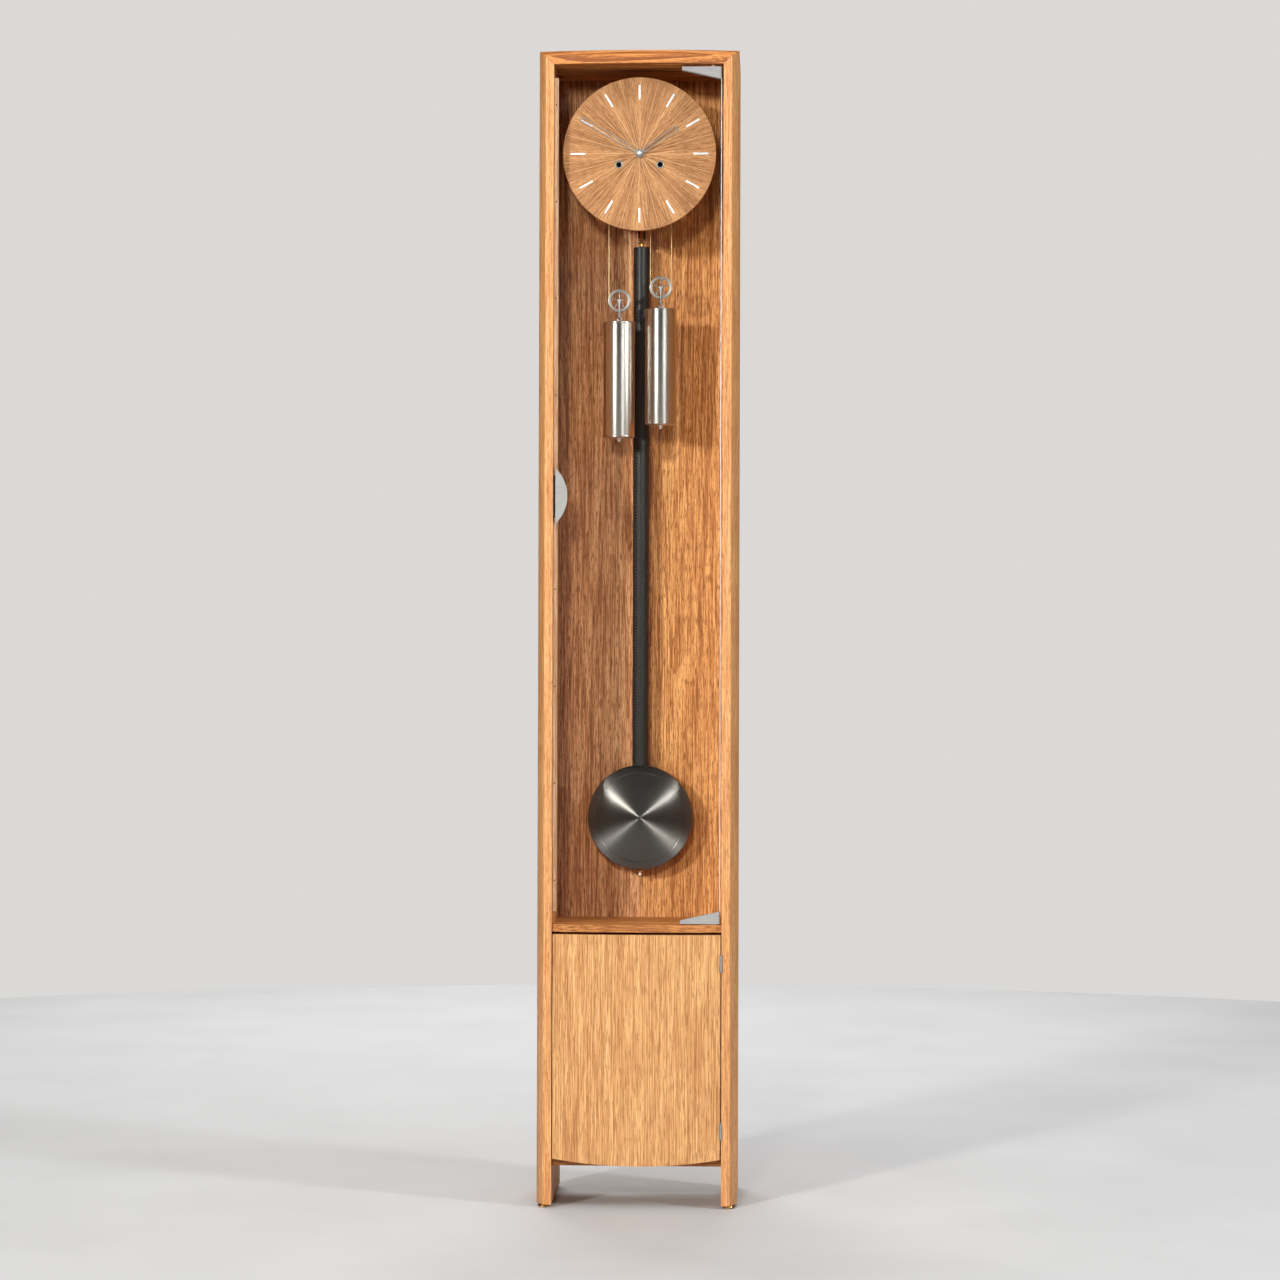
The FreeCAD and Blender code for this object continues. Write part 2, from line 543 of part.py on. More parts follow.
HOUR_REAR = f"({DIAL_FRONT} - hour_lift)"
MINUTE_REAR = f"({HOUR_REAR} - hand_thick - hand_space)"
MINUTE_FRONT = f"({MINUTE_REAR} - hand_thick)"


def toothed(name, teeth, module, at, thick, bore, offset):
    """Spur wheel with slim trapezoid teeth, so that meshing pairs keep backlash; offset in pitches."""
    pitch = teeth * module / 2
    points = []
    for tooth in range(teeth):
        middle = 2 * math.pi * (tooth + offset) / teeth
        for radius, lean in ((pitch - 1.2 * module, -0.23), (pitch + 0.85 * module, -0.1),
                             (pitch + 0.85 * module, 0.1), (pitch - 1.2 * module, 0.23)):
            angle = middle + lean * 2 * math.pi / teeth
            points.append(Vector(radius * math.sin(angle), 0, radius * math.cos(angle)))
    points.append(points[0])
    blank = Part.Face(Part.makePolygon(points)).extrude(Vector(0, thick, 0))
    wheel = doc.addObject("Part::Feature", name)
    wheel.Shape = blank.cut(Part.makeCylinder(bore, thick, Vector(), Vector(0, 1, 0)))
    return place(wheel, at)


# The motion work: cannon pinion 12, minute wheel 36, its pinion 10, hour wheel 40.
MOTION_GAP = "(24 * motion_module)"
MINUTE_LAYER = f"({PLATE_FRONT} - 1.4 - motion_layer)"
HOUR_LAYER = f"({MINUTE_LAYER} - 1.2 - motion_layer)"


def make_motion_work():
    fine = value("motion_module") * 24 / 25
    module = value("motion_module")
    thick = value("motion_layer")
    arbor_end = f"({MINUTE_FRONT} - 4)"
    arbor = rod("centre_arbor", ("0", arbor_end, DIAL_Z), "Y", "arbor_radius",
                f"{PLATE_INNER} + 8 - {arbor_end}")
    pipe = tube("cannon_pipe", ("0", f"{MINUTE_FRONT}", DIAL_Z), "Y", "cannon_radius", "arbor_radius - 0.5",
                f"{PLATE_FRONT} - 0.4 - {MINUTE_FRONT}")
    pinion = toothed("cannon_teeth", 12, module, ("0", MINUTE_LAYER, DIAL_Z), thick, 2.5, 0)
    fuse("cannon_pinion", arbor, pipe, pinion)
    pipe = tube("hour_pipe", ("0", f"{HOUR_REAR} - hand_thick", DIAL_Z), "Y", "hour_pipe_radius",
                "cannon_radius + running_gap", f"{HOUR_LAYER} + motion_layer - {HOUR_REAR} + hand_thick")
    wheel = toothed("hour_teeth", 40, fine, ("0", HOUR_LAYER, DIAL_Z), thick,
                    value("hour_pipe_radius") - 0.5, 0.5)
    fuse("hour_wheel", pipe, wheel)
    low = f"{DIAL_Z} - {MOTION_GAP}"
    wheel = toothed("minute_teeth", 36, module, ("0", MINUTE_LAYER, low), thick,
                    value("stud_radius + running_gap"), 0.5)
    pinion = toothed("minute_pinion_teeth", 10, fine, ("0", HOUR_LAYER, low), thick + 1.2,
                     value("stud_radius + running_gap"), 0)
    fuse("minute_wheel", wheel, pinion)


def make_hand_nut():
    tube("hand_nut", ("0", f"{MINUTE_FRONT} - hand_nut_tall", DIAL_Z), "Y", "cannon_radius + hand_nut_wide",
         "arbor_radius", "hand_nut_tall")


# ---- movement ----
def make_plates():
    low, high = SEAT_TOP, f"{DIAL_Z} + plate_rise"
    size = ("2 * plate_half", "plate_thick", f"{high} - {low}")
    front = box("front_sheet", ("0 - plate_half", PLATE_FRONT, low), size)
    rear = box("rear_sheet", ("0 - plate_half", REAR_INNER, low), size)
    front_holes = [plate_hole("front_centre", "0", PLATE_FRONT, DIAL_Z, "arbor_radius + running_gap")]
    rear_holes = []
    for side, sign in (("strike", -1), ("time", 1)):
        x = f"{sign} * drum_x"
        front_holes.append(plate_hole(f"front_{side}", x, PLATE_FRONT, DRUM_Z, "wind_radius + running_gap"))
        rear_holes.append(plate_hole(f"rear_{side}", x, REAR_INNER, DRUM_Z, "wind_radius + running_gap"))
    escape = f"{SWING_Z} - escape_drop"
    for name, y, holes in (("front", PLATE_FRONT, front_holes), ("rear", REAR_INNER, rear_holes)):
        holes.append(plate_hole(f"{name}_escape", "0", y, escape, "escape_arbor_radius + running_gap"))
        radius = "anchor_arbor + running_gap" if name == "front" else "2 * anchor_arbor + 2"
        holes.append(plate_hole(f"{name}_anchor", "0", y, SWING_Z, radius))
    pieces = [cut("front_drilled", front, *front_holes)]
    pieces.append(rod("motion_stud", ("0", f"{HOUR_LAYER} - 0.6", f"{DIAL_Z} - {MOTION_GAP}"), "Y",
                      "stud_radius", f"{PLATE_FRONT} + 1 - {HOUR_LAYER} + 0.6"))
    for spot, (right, up) in enumerate(((-1, -1), (1, -1), (-1, 1), (1, 1))):
        pieces.append(rod(f"dial_foot_{spot}",
                          (f"{right} * dial_foot_x", DIAL_REAR, f"{DIAL_Z} + {up} * dial_foot_z"), "Y",
                          "dial_foot_radius", "foot_gap"))
    fuse("front_plate", *pieces)
    cut("back_plate", rear, *rear_holes)
    make_pillars(low, high)


def plate_hole(name, x, y, z, radius):
    return rod(f"{name}_hole", (x, y, z), "Y", radius, "plate_thick")


def make_pillars(low, high):
    pillars = []
    bolts = []
    for side, sign in (("left", -1), ("right", 1)):
        x = f"{sign} * (plate_half - pillar_inset)"
        pillars.append(rod(f"{side}_high_pillar", (x, PLATE_INNER, f"{high} - pillar_inset"), "Y",
                           "pillar_radius", "plate_space"))
        level = f"{low} + pillar_inset"
        bar = rod(f"{side}_low_bar", (x, PLATE_INNER, level), "Y", "pillar_radius", "plate_space")
        middle = f"{PLATE_INNER} + plate_space * 0.7"
        bore = rod(f"{side}_bolt_bore", (x, middle, f"{level} - pillar_radius"), "Z", "bolt_radius",
                   "pillar_radius")
        pillars.append(cut(f"{side}_low_pillar", bar, bore))
        shank = rod(f"{side}_bolt_shank", (x, middle, f"{SEAT_LOW} - bolt_head_tall"), "Z", "bolt_radius",
                    f"{level} - {SEAT_LOW} + bolt_head_tall")
        head = rod(f"{side}_bolt_head", (x, middle, f"{SEAT_LOW} - bolt_head_tall"), "Z", "bolt_head",
                   "bolt_head_tall")
        bolts.append(fuse(f"{side}_seat_bolt", shank, head))
    group("plate_pillars", pillars)
    group("seat_bolts", bolts)


def make_seat():
    board = box("seat_blank", ("0 - seat_half", f"{PLATE_FRONT} - seat_front", SEAT_LOW),
                ("2 * seat_half", f"{REAR_OUTER} - {PLATE_FRONT} + seat_front + seat_back", "seat_thick"))
    holes = []
    anchors = []
    cheeks = []
    for side, sign in (("left", -1), ("right", 1)):
        outer = f"{sign} * (drum_x + cable_wrap)"
        holes.append(rod(f"{side}_cable_hole", (outer, DRUM_Y, SEAT_LOW), "Z", "cable_hole", "seat_thick"))
        holes.append(rod(f"{side}_seat_bolt_hole", (f"{sign} * (plate_half - pillar_inset)",
                                                    f"{PLATE_INNER} + plate_space * 0.7", SEAT_LOW),
                         "Z", "bolt_radius", "seat_thick"))
        anchors.append(rod(f"{side}_cable_anchor", (f"{sign} * {HOOK_X}", DRUM_Y, HOOK_LOW), "Z",
                           "anchor_radius", "anchor_z"))
        x = "seat_half" if sign > 0 else "0 - seat_half - cheek_thick"
        cheeks.append(box(f"{side}_cheek", (x, f"{PLATE_FRONT} - seat_front", f"{SEAT_TOP} - cheek_tall"),
                          ("cheek_thick", f"{PANEL_Y} - {PLATE_FRONT} + seat_front", "cheek_tall")))
    cut("seat_board", board, *holes)
    group("cable_anchors", anchors)
    group("seat_cheeks", cheeks)


def make_drum(name, sign):
    x = f"{sign} * drum_x"
    start = f"({DRUM_Y} - drum_long / 2)"
    pieces = [rod(f"{name}_barrel", (x, start, DRUM_Z), "Y", "drum_radius", "drum_long")]
    for end, y in (("front", f"{start} - drum_flange_thick"), ("rear", f"{start} + drum_long")):
        pieces.append(rod(f"{name}_{end}_flange", (x, y, DRUM_Z), "Y", "drum_radius + drum_flange",
                          "drum_flange_thick"))
    pieces.append(rod(f"{name}_arbor", (x, f"{DIAL_REAR} + 1", DRUM_Z), "Y", "wind_radius",
                      f"{REAR_OUTER} - {DIAL_REAR}"))
    fuse(name, *pieces)


def make_line(name, sign, fall):
    """Pulley, its hanger, the weight and the cable of one train, hung below the drum by fall."""
    x = f"{sign} * {PULLEY_X}"
    z = f"({DRUM_Z} - {fall})"
    make_pulley(f"{name}_pulley", x, z)
    make_hanger(f"{name}_hanger", x, z)
    turned(f"{name}_weight",
           [("0", "0"), ("weight_radius - 0.8", "0"), ("weight_radius", "0.8"), ("weight_radius", "3.4"),
            ("weight_radius - 0.5", "3.6"), ("weight_radius - 0.5", "4.2"), ("weight_radius", "4.4"),
            ("weight_radius", "weight_long - 4.4"), ("weight_radius - 0.5", "weight_long - 4.2"),
            ("weight_radius - 0.5", "weight_long - 3.6"), ("weight_radius", "weight_long - 3.4"),
            ("weight_radius", "weight_long - 0.8"), ("weight_radius - 0.8", "weight_long"),
            ("0", "weight_long")],
           (x, DRUM_Y, f"{z} - hanger_long - weight_long"))
    make_cable(f"{name}_cable", sign, z)


def make_pulley(name, x, z):
    half = "pulley_thick / 2"
    groove = "(pulley_wrap - cable_radius - 0.1)"
    rim = turned(f"{name}_rim",
                 [(f"{groove} - 2", f"0 - {half}"), (f"{groove} + 2", f"0 - {half}"), (groove, "0 - 0.8"),
                  (groove, "0.8"), (f"{groove} + 2", half), (f"{groove} - 2", half)],
                 (x, DRUM_Y, z), "Y")
    pieces = [rim, rod(f"{name}_hub", (x, f"{DRUM_Y} - {half}", z), "Y", "pulley_hub", "pulley_thick")]
    for spoke in range(5):
        angle = 72 * spoke
        arm = doc.addObject("Part::Cylinder", f"{name}_spoke_{spoke}")
        bind(arm, "Radius", "spoke_radius")
        bind(arm, "Height", f"{groove} - 1")
        place(arm, (x, DRUM_Y, z), Rotation(Vector(0, 1, 0), angle))
        pieces.append(arm)
    bore = rod(f"{name}_bore", (x, f"{DRUM_Y} - {half}", z), "Y", "axle_radius + running_gap", "pulley_thick")
    cut(name, fuse(f"{name}_wheel", *pieces), bore)


def make_hanger(name, x, z):
    """Two straps beside the pulley, a bridge under it and the stem that holds the weight."""
    inside = "(pulley_thick / 2 + strap_gap)"
    front = f"({DRUM_Y} - {inside} - strap_thick)"
    left = f"({x} - strap_wide / 2)"
    pieces = []
    for side, y in (("front", front), ("rear", f"{DRUM_Y} + {inside}")):
        pieces.append(box(f"{name}_{side}_strap", (left, y, f"{z} - strap_drop"),
                          ("strap_wide", "strap_thick", "strap_drop + strap_rise")))
    pieces.append(box(f"{name}_bridge", (left, front, f"{z} - strap_drop"),
                      ("strap_wide", f"2 * {inside} + 2 * strap_thick", "hanger_bridge")))
    pieces.append(rod(f"{name}_axle", (x, front, z), "Y", "axle_radius", f"2 * {inside} + 2 * strap_thick"))
    pieces.append(rod(f"{name}_stem", (x, DRUM_Y, f"{z} - hanger_long"), "Z", "stem_radius",
                      "hanger_long - stem_start"))
    fuse(name, *pieces)


def make_cable(name, sign, z):
    """Taut steel cable: down from the drum, half round the pulley and up to its anchor."""
    outer = f"{sign} * (drum_x + cable_wrap)"
    inner = f"{sign} * {HOOK_X}"
    bend = doc.addObject("Part::Torus", f"{name}_bend")
    bind(bend, "Radius1", "pulley_wrap")
    bind(bend, "Radius2", "cable_radius")
    bend.Angle3 = 180
    place(bend, (f"{sign} * {PULLEY_X}", DRUM_Y, z), Rotation(Vector(1, 0, 0), -90))
    wound = rod(f"{name}_wound", (outer, DRUM_Y, z), "Z", "cable_radius", f"{DRUM_Z} - {z}")
    hooked = rod(f"{name}_hooked", (inner, DRUM_Y, z), "Z", "cable_radius", f"{HOOK_LOW} - {z}")
    fuse(name, wound, bend, hooked)


# ---- escapement and pendulum ----
def make_escapement():
    centre = f"({SWING_Z} - escape_drop)"
    layer = f"({PLATE_INNER} + escape_behind)"
    radius = value("escape_radius")
    points = []
    for tooth in range(30):
        start = 2 * math.pi * tooth / 30
        for reach, lead in ((radius - 2.2, 0), (radius, 0.09), (radius - 2.2, 0.12)):
            points.append(Vector(reach * math.sin(start + lead), 0, reach * math.cos(start + lead)))
    points.append(points[0])
    teeth = doc.addObject("Part::Feature", "escape_teeth")
    teeth.Shape = Part.Face(Part.makePolygon(points)).extrude(Vector(0, value("escape_thick"), 0))
    place(teeth, ("0", layer, centre))
    arbor = rod("escape_arbor", ("0", PLATE_FRONT, centre), "Y", "escape_arbor_radius",
                f"{REAR_OUTER} - {PLATE_FRONT}")
    fuse("escape_wheel", teeth, arbor)
    make_anchor(layer)


def make_anchor(layer):
    """Recoil anchor on its arbor, with the crutch that drives the pendulum."""
    hub = rod("anchor_hub", ("0", layer, SWING_Z), "Y", "2 * anchor_arbor", "escape_thick")
    arbor = rod("anchor_shaft", ("0", PLATE_FRONT, SWING_Z), "Y", "anchor_arbor",
                f"{SWING_Y} - 6 - {PLATE_FRONT}")
    reach = "(escape_radius + 0.7)"
    drop = "(escape_drop - 4)"
    arms = plate("anchor_arms", "XZ_Plane",
                 [[("0", "2.6"), (f"0 - {reach} - 1.6", "0 - 5"), (f"0 - {reach} - 1.6", f"0 - {drop}"),
                   (f"0 - {reach}", f"0 - {drop}"), (f"0 - {reach}", "0 - 5.6"), ("0", "0 - 2.4"),
                   (reach, "0 - 5.6"), (reach, f"0 - {drop}"), (f"{reach} + 1.6", f"0 - {drop}"),
                   (f"{reach} + 1.6", "0 - 5")]],
                 "escape_thick", ("0", f"{layer} + escape_thick", SWING_Z))
    behind = f"{SWING_Y} - crutch_behind"
    crutch = box("crutch_strip", ("0 - crutch_wide / 2", behind, f"{SWING_Z} - crutch_long"),
                 ("crutch_wide", "crutch_thick", "crutch_long"))
    pin = rod("crutch_peg", ("0", behind, f"{SWING_Z} - crutch_long + 2 * crutch_pin"), "Y", "crutch_pin",
              "crutch_pin_long")
    fuse("pallet_anchor", hub, arbor, arms, crutch, pin)


def make_cock():
    flange = box("cock_flange", ("0 - cock_wide / 2", REAR_OUTER, f"{SWING_Z} - cock_drop"),
                 ("cock_wide", "cock_thick", "cock_tall"))
    arm = box("cock_arm", ("0 - cock_arm_wide / 2", REAR_OUTER, f"{SWING_Z} + cock_arm_rise"),
              ("cock_arm_wide", f"{SWING_Y} - {REAR_OUTER} + cock_reach", "cock_arm_tall"))
    bore = rod("cock_bore", ("0", REAR_OUTER, SWING_Z), "Y", "anchor_arbor + running_gap", "cock_thick")
    cut("suspension_cock", fuse("cock_solid", flange, arm), bore)


def make_pendulum():
    top = f"({SWING_Z} - leader_top)"
    box("suspension_spring", ("0 - spring_wide / 2", f"{SWING_Y} - spring_thick / 2", top),
        ("spring_wide", "spring_thick", "leader_top + spring_grip"))
    low = f"({top} - leader_long)"
    strip = box("leader_strip", ("0 - leader_half", f"{SWING_Y} - leader_thick / 2", low),
                ("2 * leader_half", "leader_thick", "leader_long"))
    slot = box("leader_slot",
               ("0 - slot_wide / 2", f"{SWING_Y} - leader_thick / 2", f"{SWING_Z} - crutch_long - 3 * crutch_pin"),
               ("slot_wide", "leader_thick", "slot_tall"))
    pieces = [cut("leader_slotted", strip, slot)]
    for side, sign in (("left", -1), ("right", 1)):
        pieces.append(rod(f"{side}_leader_rod", (f"{sign} * leader_rod_x", SWING_Y, low), "Z",
                          "leader_rod_radius", "leader_long"))
    pieces.append(box("leader_head", ("0 - yoke_half", f"{SWING_Y} - head_thick / 2", f"{top} - head_tall"),
                      ("2 * yoke_half", "head_thick", "head_tall")))
    pieces.append(box("leader_yoke", ("0 - yoke_half", f"{SWING_Y} - yoke_thick / 2", f"{low} - yoke_tall"),
                      ("2 * yoke_half", "yoke_thick", "yoke_tall")))
    pieces.append(rod("leader_neck", ("0", SWING_Y, f"{low} - yoke_tall - neck_long"), "Z", "neck_radius",
                      "neck_long"))
    fuse("pendulum_leader", *pieces)
    rod("pendulum_rod", ("0", SWING_Y, ROD_LOW), "Z", "rod_radius", "rod_long")
    make_bob()


def make_bob():
    lens = turned("bob_lens",
                  [("0", "0 - bob_half"), ("8", "0 - bob_half"), ("bob_ring", "0 - bob_ring_half"),
                   ("bob_radius", "0 - bob_rim_half"), ("bob_radius", "bob_rim_half"),
                   ("bob_ring", "bob_ring_half"), ("8", "bob_half"), ("0", "bob_half")],
                  ("0", SWING_Y, BOB_Z), "Y")
    socket = rod("bob_socket", ("0", SWING_Y, ROD_LOW), "Z", "rod_radius", "rod_long / 4")
    bore = rod("bob_bore", ("0", SWING_Y, f"{BOB_Z} - bob_radius"), "Z", "screw_radius", "bob_radius")
    upper = rod("bob_upper_bore", ("0", SWING_Y, BOB_Z), "Z", "screw_radius", f"{ROD_LOW} - {BOB_Z}")
    cut("pendulum_bob", lens, socket, bore, upper)
    tail = f"({BOB_Z} - bob_radius - screw_tail)"
    rod("rating_screw", ("0", SWING_Y, tail), "Z", "screw_radius", f"{ROD_LOW} - {tail}")
    tube("rating_nut", ("0", SWING_Y, f"{BOB_Z} - bob_radius - 0.1 - nut_tall"), "Z", "nut_radius",
         "screw_radius + running_gap", "nut_tall")


# ---- bell ----
def make_bell():
    rim = f"({DIAL_Z} + bell_rise)"
    y = f"({REAR_OUTER} - 1)"
    inner = "(bell_radius - bell_wall)"
    turned("bell",
           [("2", "bell_tall - bell_wall"), (f"{inner} * 0.7", "bell_tall - bell_wall"), (inner, "0"),
            ("bell_radius", "0"), (f"{inner} * 0.7 + bell_wall", "bell_tall"), ("2", "bell_tall")],
           ("0", y, rim))
    foot = box("stand_foot", ("0 - 6", REAR_OUTER, f"{SWING_Z} + 14"), ("12", "3", "28"))
    tongue = box("stand_tongue", ("0 - 6", f"{y} - 4", f"{SWING_Z} + 39"), ("12", "8", "3"))
    post = rod("stand_post", ("0", y, f"{SWING_Z} + 40"), "Z", "2", f"{rim} + bell_tall - {SWING_Z} - 37")
    fuse("bell_stand", foot, tongue, post)


def make_hammer():
    y = f"({REAR_OUTER} + hammer_behind)"
    z = f"({DIAL_Z} + hammer_rise)"
    arm = box("hammer_arm_strip", ("hammer_x - hammer_strip / 2", f"{y} - 1", z),
              ("hammer_strip", "2", "hammer_arm"))
    tip = f"({z} + hammer_arm)"
    start = "(bell_radius + hammer_gap)"
    head = rod("hammer_tip", (start, y, f"{tip} - 2"), "X", "hammer_head", f"hammer_x + hammer_strip - {start}")
    hub = rod("hammer_hub", ("hammer_x", REAR_OUTER, z), "Y", "hammer_hub_radius", "hammer_hub_long")
    fuse("strike_hammer", arm, head, hub)


def build():
    blank = make_top()
    make_side("left_side", -1, blank)
    make_side("right_side", 1, blank)
    make_boards()
    make_feet()
    make_cupboard_door()
    make_butts()
    make_catch()
    make_glass()
    make_patch("upper_patch_hinge", GLASS_TOP, 1)
    make_patch("lower_patch_hinge", GLASS_LOW, -1)
    make_bushes()
    make_grip()
    make_bead()
    make_dial()
    make_batons()
    make_hand("hour_hand", "hour_reach", "hour_hub", "hour_pipe_radius", HOUR_REAR, 55.7)
    make_hand("minute_hand", "minute_reach", "minute_hub", "cannon_radius", MINUTE_REAR, -59.3)
    make_motion_work()
    make_hand_nut()
    make_plates()
    make_seat()
    make_drum("strike_drum", -1)
    make_drum("time_drum", 1)
    make_line("strike", -1, "strike_fall")
    make_line("time", 1, "time_fall")
    make_escapement()
    make_cock()
    make_pendulum()
    make_bell()
    make_hammer()


NODES = [
    "left_side", "right_side", "top_board", "back_panel", "shelf", "cupboard_floor", "seat_board",
    "seat_cheeks", "dial", "dial_batons", "winding_bushes", "front_plate", "back_plate", "plate_pillars",
    "seat_bolts", "suspension_cock", "door_bushes", "cupboard_case_hinges", "handle_magnet", "stop_bead",
    "cupboard_catch", "bell", "bell_stand", "cable_anchors",
    "door_glass", "upper_patch_hinge", "lower_patch_hinge", "door_handle",
    "cupboard_door", "cupboard_door_hinges", "cupboard_strike",
    "cannon_pinion", "minute_hand", "hand_nut", "hour_wheel", "hour_hand", "minute_wheel",
    "suspension_spring", "pendulum_leader", "pendulum_rod", "pendulum_bob", "rating_screw", "rating_nut",
    "pallet_anchor", "escape_wheel", "strike_hammer",
    "strike_weight", "strike_hanger", "strike_pulley", "strike_cable", "strike_drum",
    "time_weight", "time_hanger", "time_pulley", "time_cable", "time_drum",
    "front_left_foot", "back_left_foot", "front_right_foot", "back_right_foot",
]


def check_and_write():
    doc.recompute()
    for thing in doc.Objects:
        if {"Invalid", "Error"} & set(thing.State):
            raise RuntimeError(f"{thing.Name} failed: {thing.State}")
    os.makedirs("parts", exist_ok=True)
    for name in NODES:
        shape = doc.getObject(name).Shape
        if shape.isNull() or not shape.isValid() or not shape.Solids:
            raise RuntimeError(f"{name} has no sound solid")
        shape.exportStep(f"parts/{name}.step")


build()
check_and_write()
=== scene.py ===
import json
import math

import bmesh
import bpy
from mathutils import Matrix, Vector


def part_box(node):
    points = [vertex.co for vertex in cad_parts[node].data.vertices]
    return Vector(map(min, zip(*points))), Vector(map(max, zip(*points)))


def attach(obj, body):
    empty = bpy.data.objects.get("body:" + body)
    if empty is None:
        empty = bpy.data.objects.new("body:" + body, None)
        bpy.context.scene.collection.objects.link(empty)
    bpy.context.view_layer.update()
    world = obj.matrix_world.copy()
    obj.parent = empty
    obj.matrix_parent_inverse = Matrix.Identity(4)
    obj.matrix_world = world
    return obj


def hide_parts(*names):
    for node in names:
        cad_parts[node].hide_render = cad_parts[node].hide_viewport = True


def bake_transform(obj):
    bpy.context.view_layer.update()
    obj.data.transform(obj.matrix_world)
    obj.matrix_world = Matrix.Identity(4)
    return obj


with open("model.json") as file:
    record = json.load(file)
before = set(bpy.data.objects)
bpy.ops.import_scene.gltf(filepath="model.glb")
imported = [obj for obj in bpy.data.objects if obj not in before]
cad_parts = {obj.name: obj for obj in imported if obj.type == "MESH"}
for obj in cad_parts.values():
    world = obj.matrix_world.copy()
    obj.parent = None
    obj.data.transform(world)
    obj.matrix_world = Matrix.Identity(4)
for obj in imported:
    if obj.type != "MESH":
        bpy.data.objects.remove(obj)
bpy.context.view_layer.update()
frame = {"record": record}

MM = 0.001


# ---- what the frame says ----
def middle(node):
    low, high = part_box(node)
    return (Vector(low) + Vector(high)) / 2


def size(node):
    low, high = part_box(node)
    return Vector(high) - Vector(low)


BODY_OF = {node: body for body, nodes in frame["record"]["behaviour"]["bodies"].items() for node in nodes}
SLOT_OF = {row["node"]: row["material_slot"] for row in frame["record"]["subparts"]}
DIAL = middle("dial")


# ---- material nodes ----
TONES = {
    "case": ((0.80, 0.425, 0.18), (0.67, 0.315, 0.115), (0.49, 0.195, 0.062)),
    "top": ((0.66, 0.27, 0.075), (0.52, 0.19, 0.045), (0.28, 0.085, 0.02)),
    "shelf": ((0.60, 0.25, 0.075), (0.46, 0.175, 0.045), (0.29, 0.10, 0.024)),
    "door": ((0.74, 0.425, 0.18), (0.635, 0.325, 0.125), (0.43, 0.185, 0.06)),
    "bead": ((0.80, 0.55, 0.36), (0.70, 0.44, 0.26), (0.52, 0.30, 0.16)),
    "veneer": ((0.86, 0.46, 0.19), (0.66, 0.30, 0.11), (0.36, 0.13, 0.04)),
    "dial": ((0.72, 0.38, 0.17), (0.58, 0.28, 0.115), (0.34, 0.14, 0.05)),
}


class Shade:
    """A material under construction; every call adds one node and gives its output socket."""

    def __init__(self, name):
        self.material = bpy.data.materials.new(name)
        self.material.use_nodes = True
        self.tree = self.material.node_tree
        self.surface = self.tree.nodes["Principled BSDF"]

    def node(self, kind, inputs=(), out=0, **props):
        made = self.tree.nodes.new(kind)
        for key, value in props.items():
            setattr(made, key, value)
        for key, value in dict(inputs).items():
            self.feed(made.inputs[key], value)
        return made.outputs[out]

    def feed(self, socket, value):
        if isinstance(value, bpy.types.NodeSocket):
            self.tree.links.new(value, socket)
        else:
            socket.default_value = value

    def math(self, operation, a, b=0.0, clamp=False):
        return self.node("ShaderNodeMath", {0: a, 1: b}, operation=operation, use_clamp=clamp)

    def place(self, scale, offset=(0, 0, 0)):
        """Object coordinates, stretched and shifted."""
        spot = self.node("ShaderNodeTexCoord", out=3)
        return self.node("ShaderNodeMapping", {"Vector": spot, "Scale": scale, "Location": offset})

    def noise(self, vector, scale=1.0, detail=3.0, rough=0.55, twist=0.0):
        return self.node("ShaderNodeTexNoise", {"Vector": vector, "Scale": scale, "Detail": detail,
                                                "Roughness": rough, "Distortion": twist})

    def ramp(self, factor, *stops):
        made = self.tree.nodes.new("ShaderNodeValToRGB")
        self.tree.links.new(factor, made.inputs["Fac"])
        points = made.color_ramp.elements
        while len(points) < len(stops):
            points.new(0.5)
        for point, (at, colour) in zip(points, stops):
            point.position = at
            point.color = (*colour, 1) if len(colour) == 3 else colour
        return made.outputs["Color"]

    def grey(self, factor, low, high, dark=0.0, light=1.0):
        return self.node("ShaderNodeMapRange", {"Value": factor, "From Min": low, "From Max": high,
                                                "To Min": dark, "To Max": light})

    def mix(self, factor, a, b, blend="MIX"):
        made = self.tree.nodes.new("ShaderNodeMix")
        made.data_type = "RGBA"
        made.blend_type = blend
        for key, value in ((0, factor), (6, a), (7, b)):
            if isinstance(value, tuple) and len(value) == 3:
                value = (*value, 1)
            self.feed(made.inputs[key], value)
        return made.outputs[2]

    def bump(self, height, strength, distance):
        normal = self.node("ShaderNodeBump", {"Height": height, "Strength": strength,
                                              "Distance": distance})
        self.set("Normal", normal)

    def set(self, name, value):
        self.feed(self.surface.inputs[name], value)


def grain_vector(shade, along, across_scale, along_scale, offset):
    """Coordinates squeezed along the grain; along is the axis letter of the fibres."""
    scale = [across_scale] * 3
    scale["XYZ".index(along)] = along_scale
    return shade.place(tuple(scale), offset)


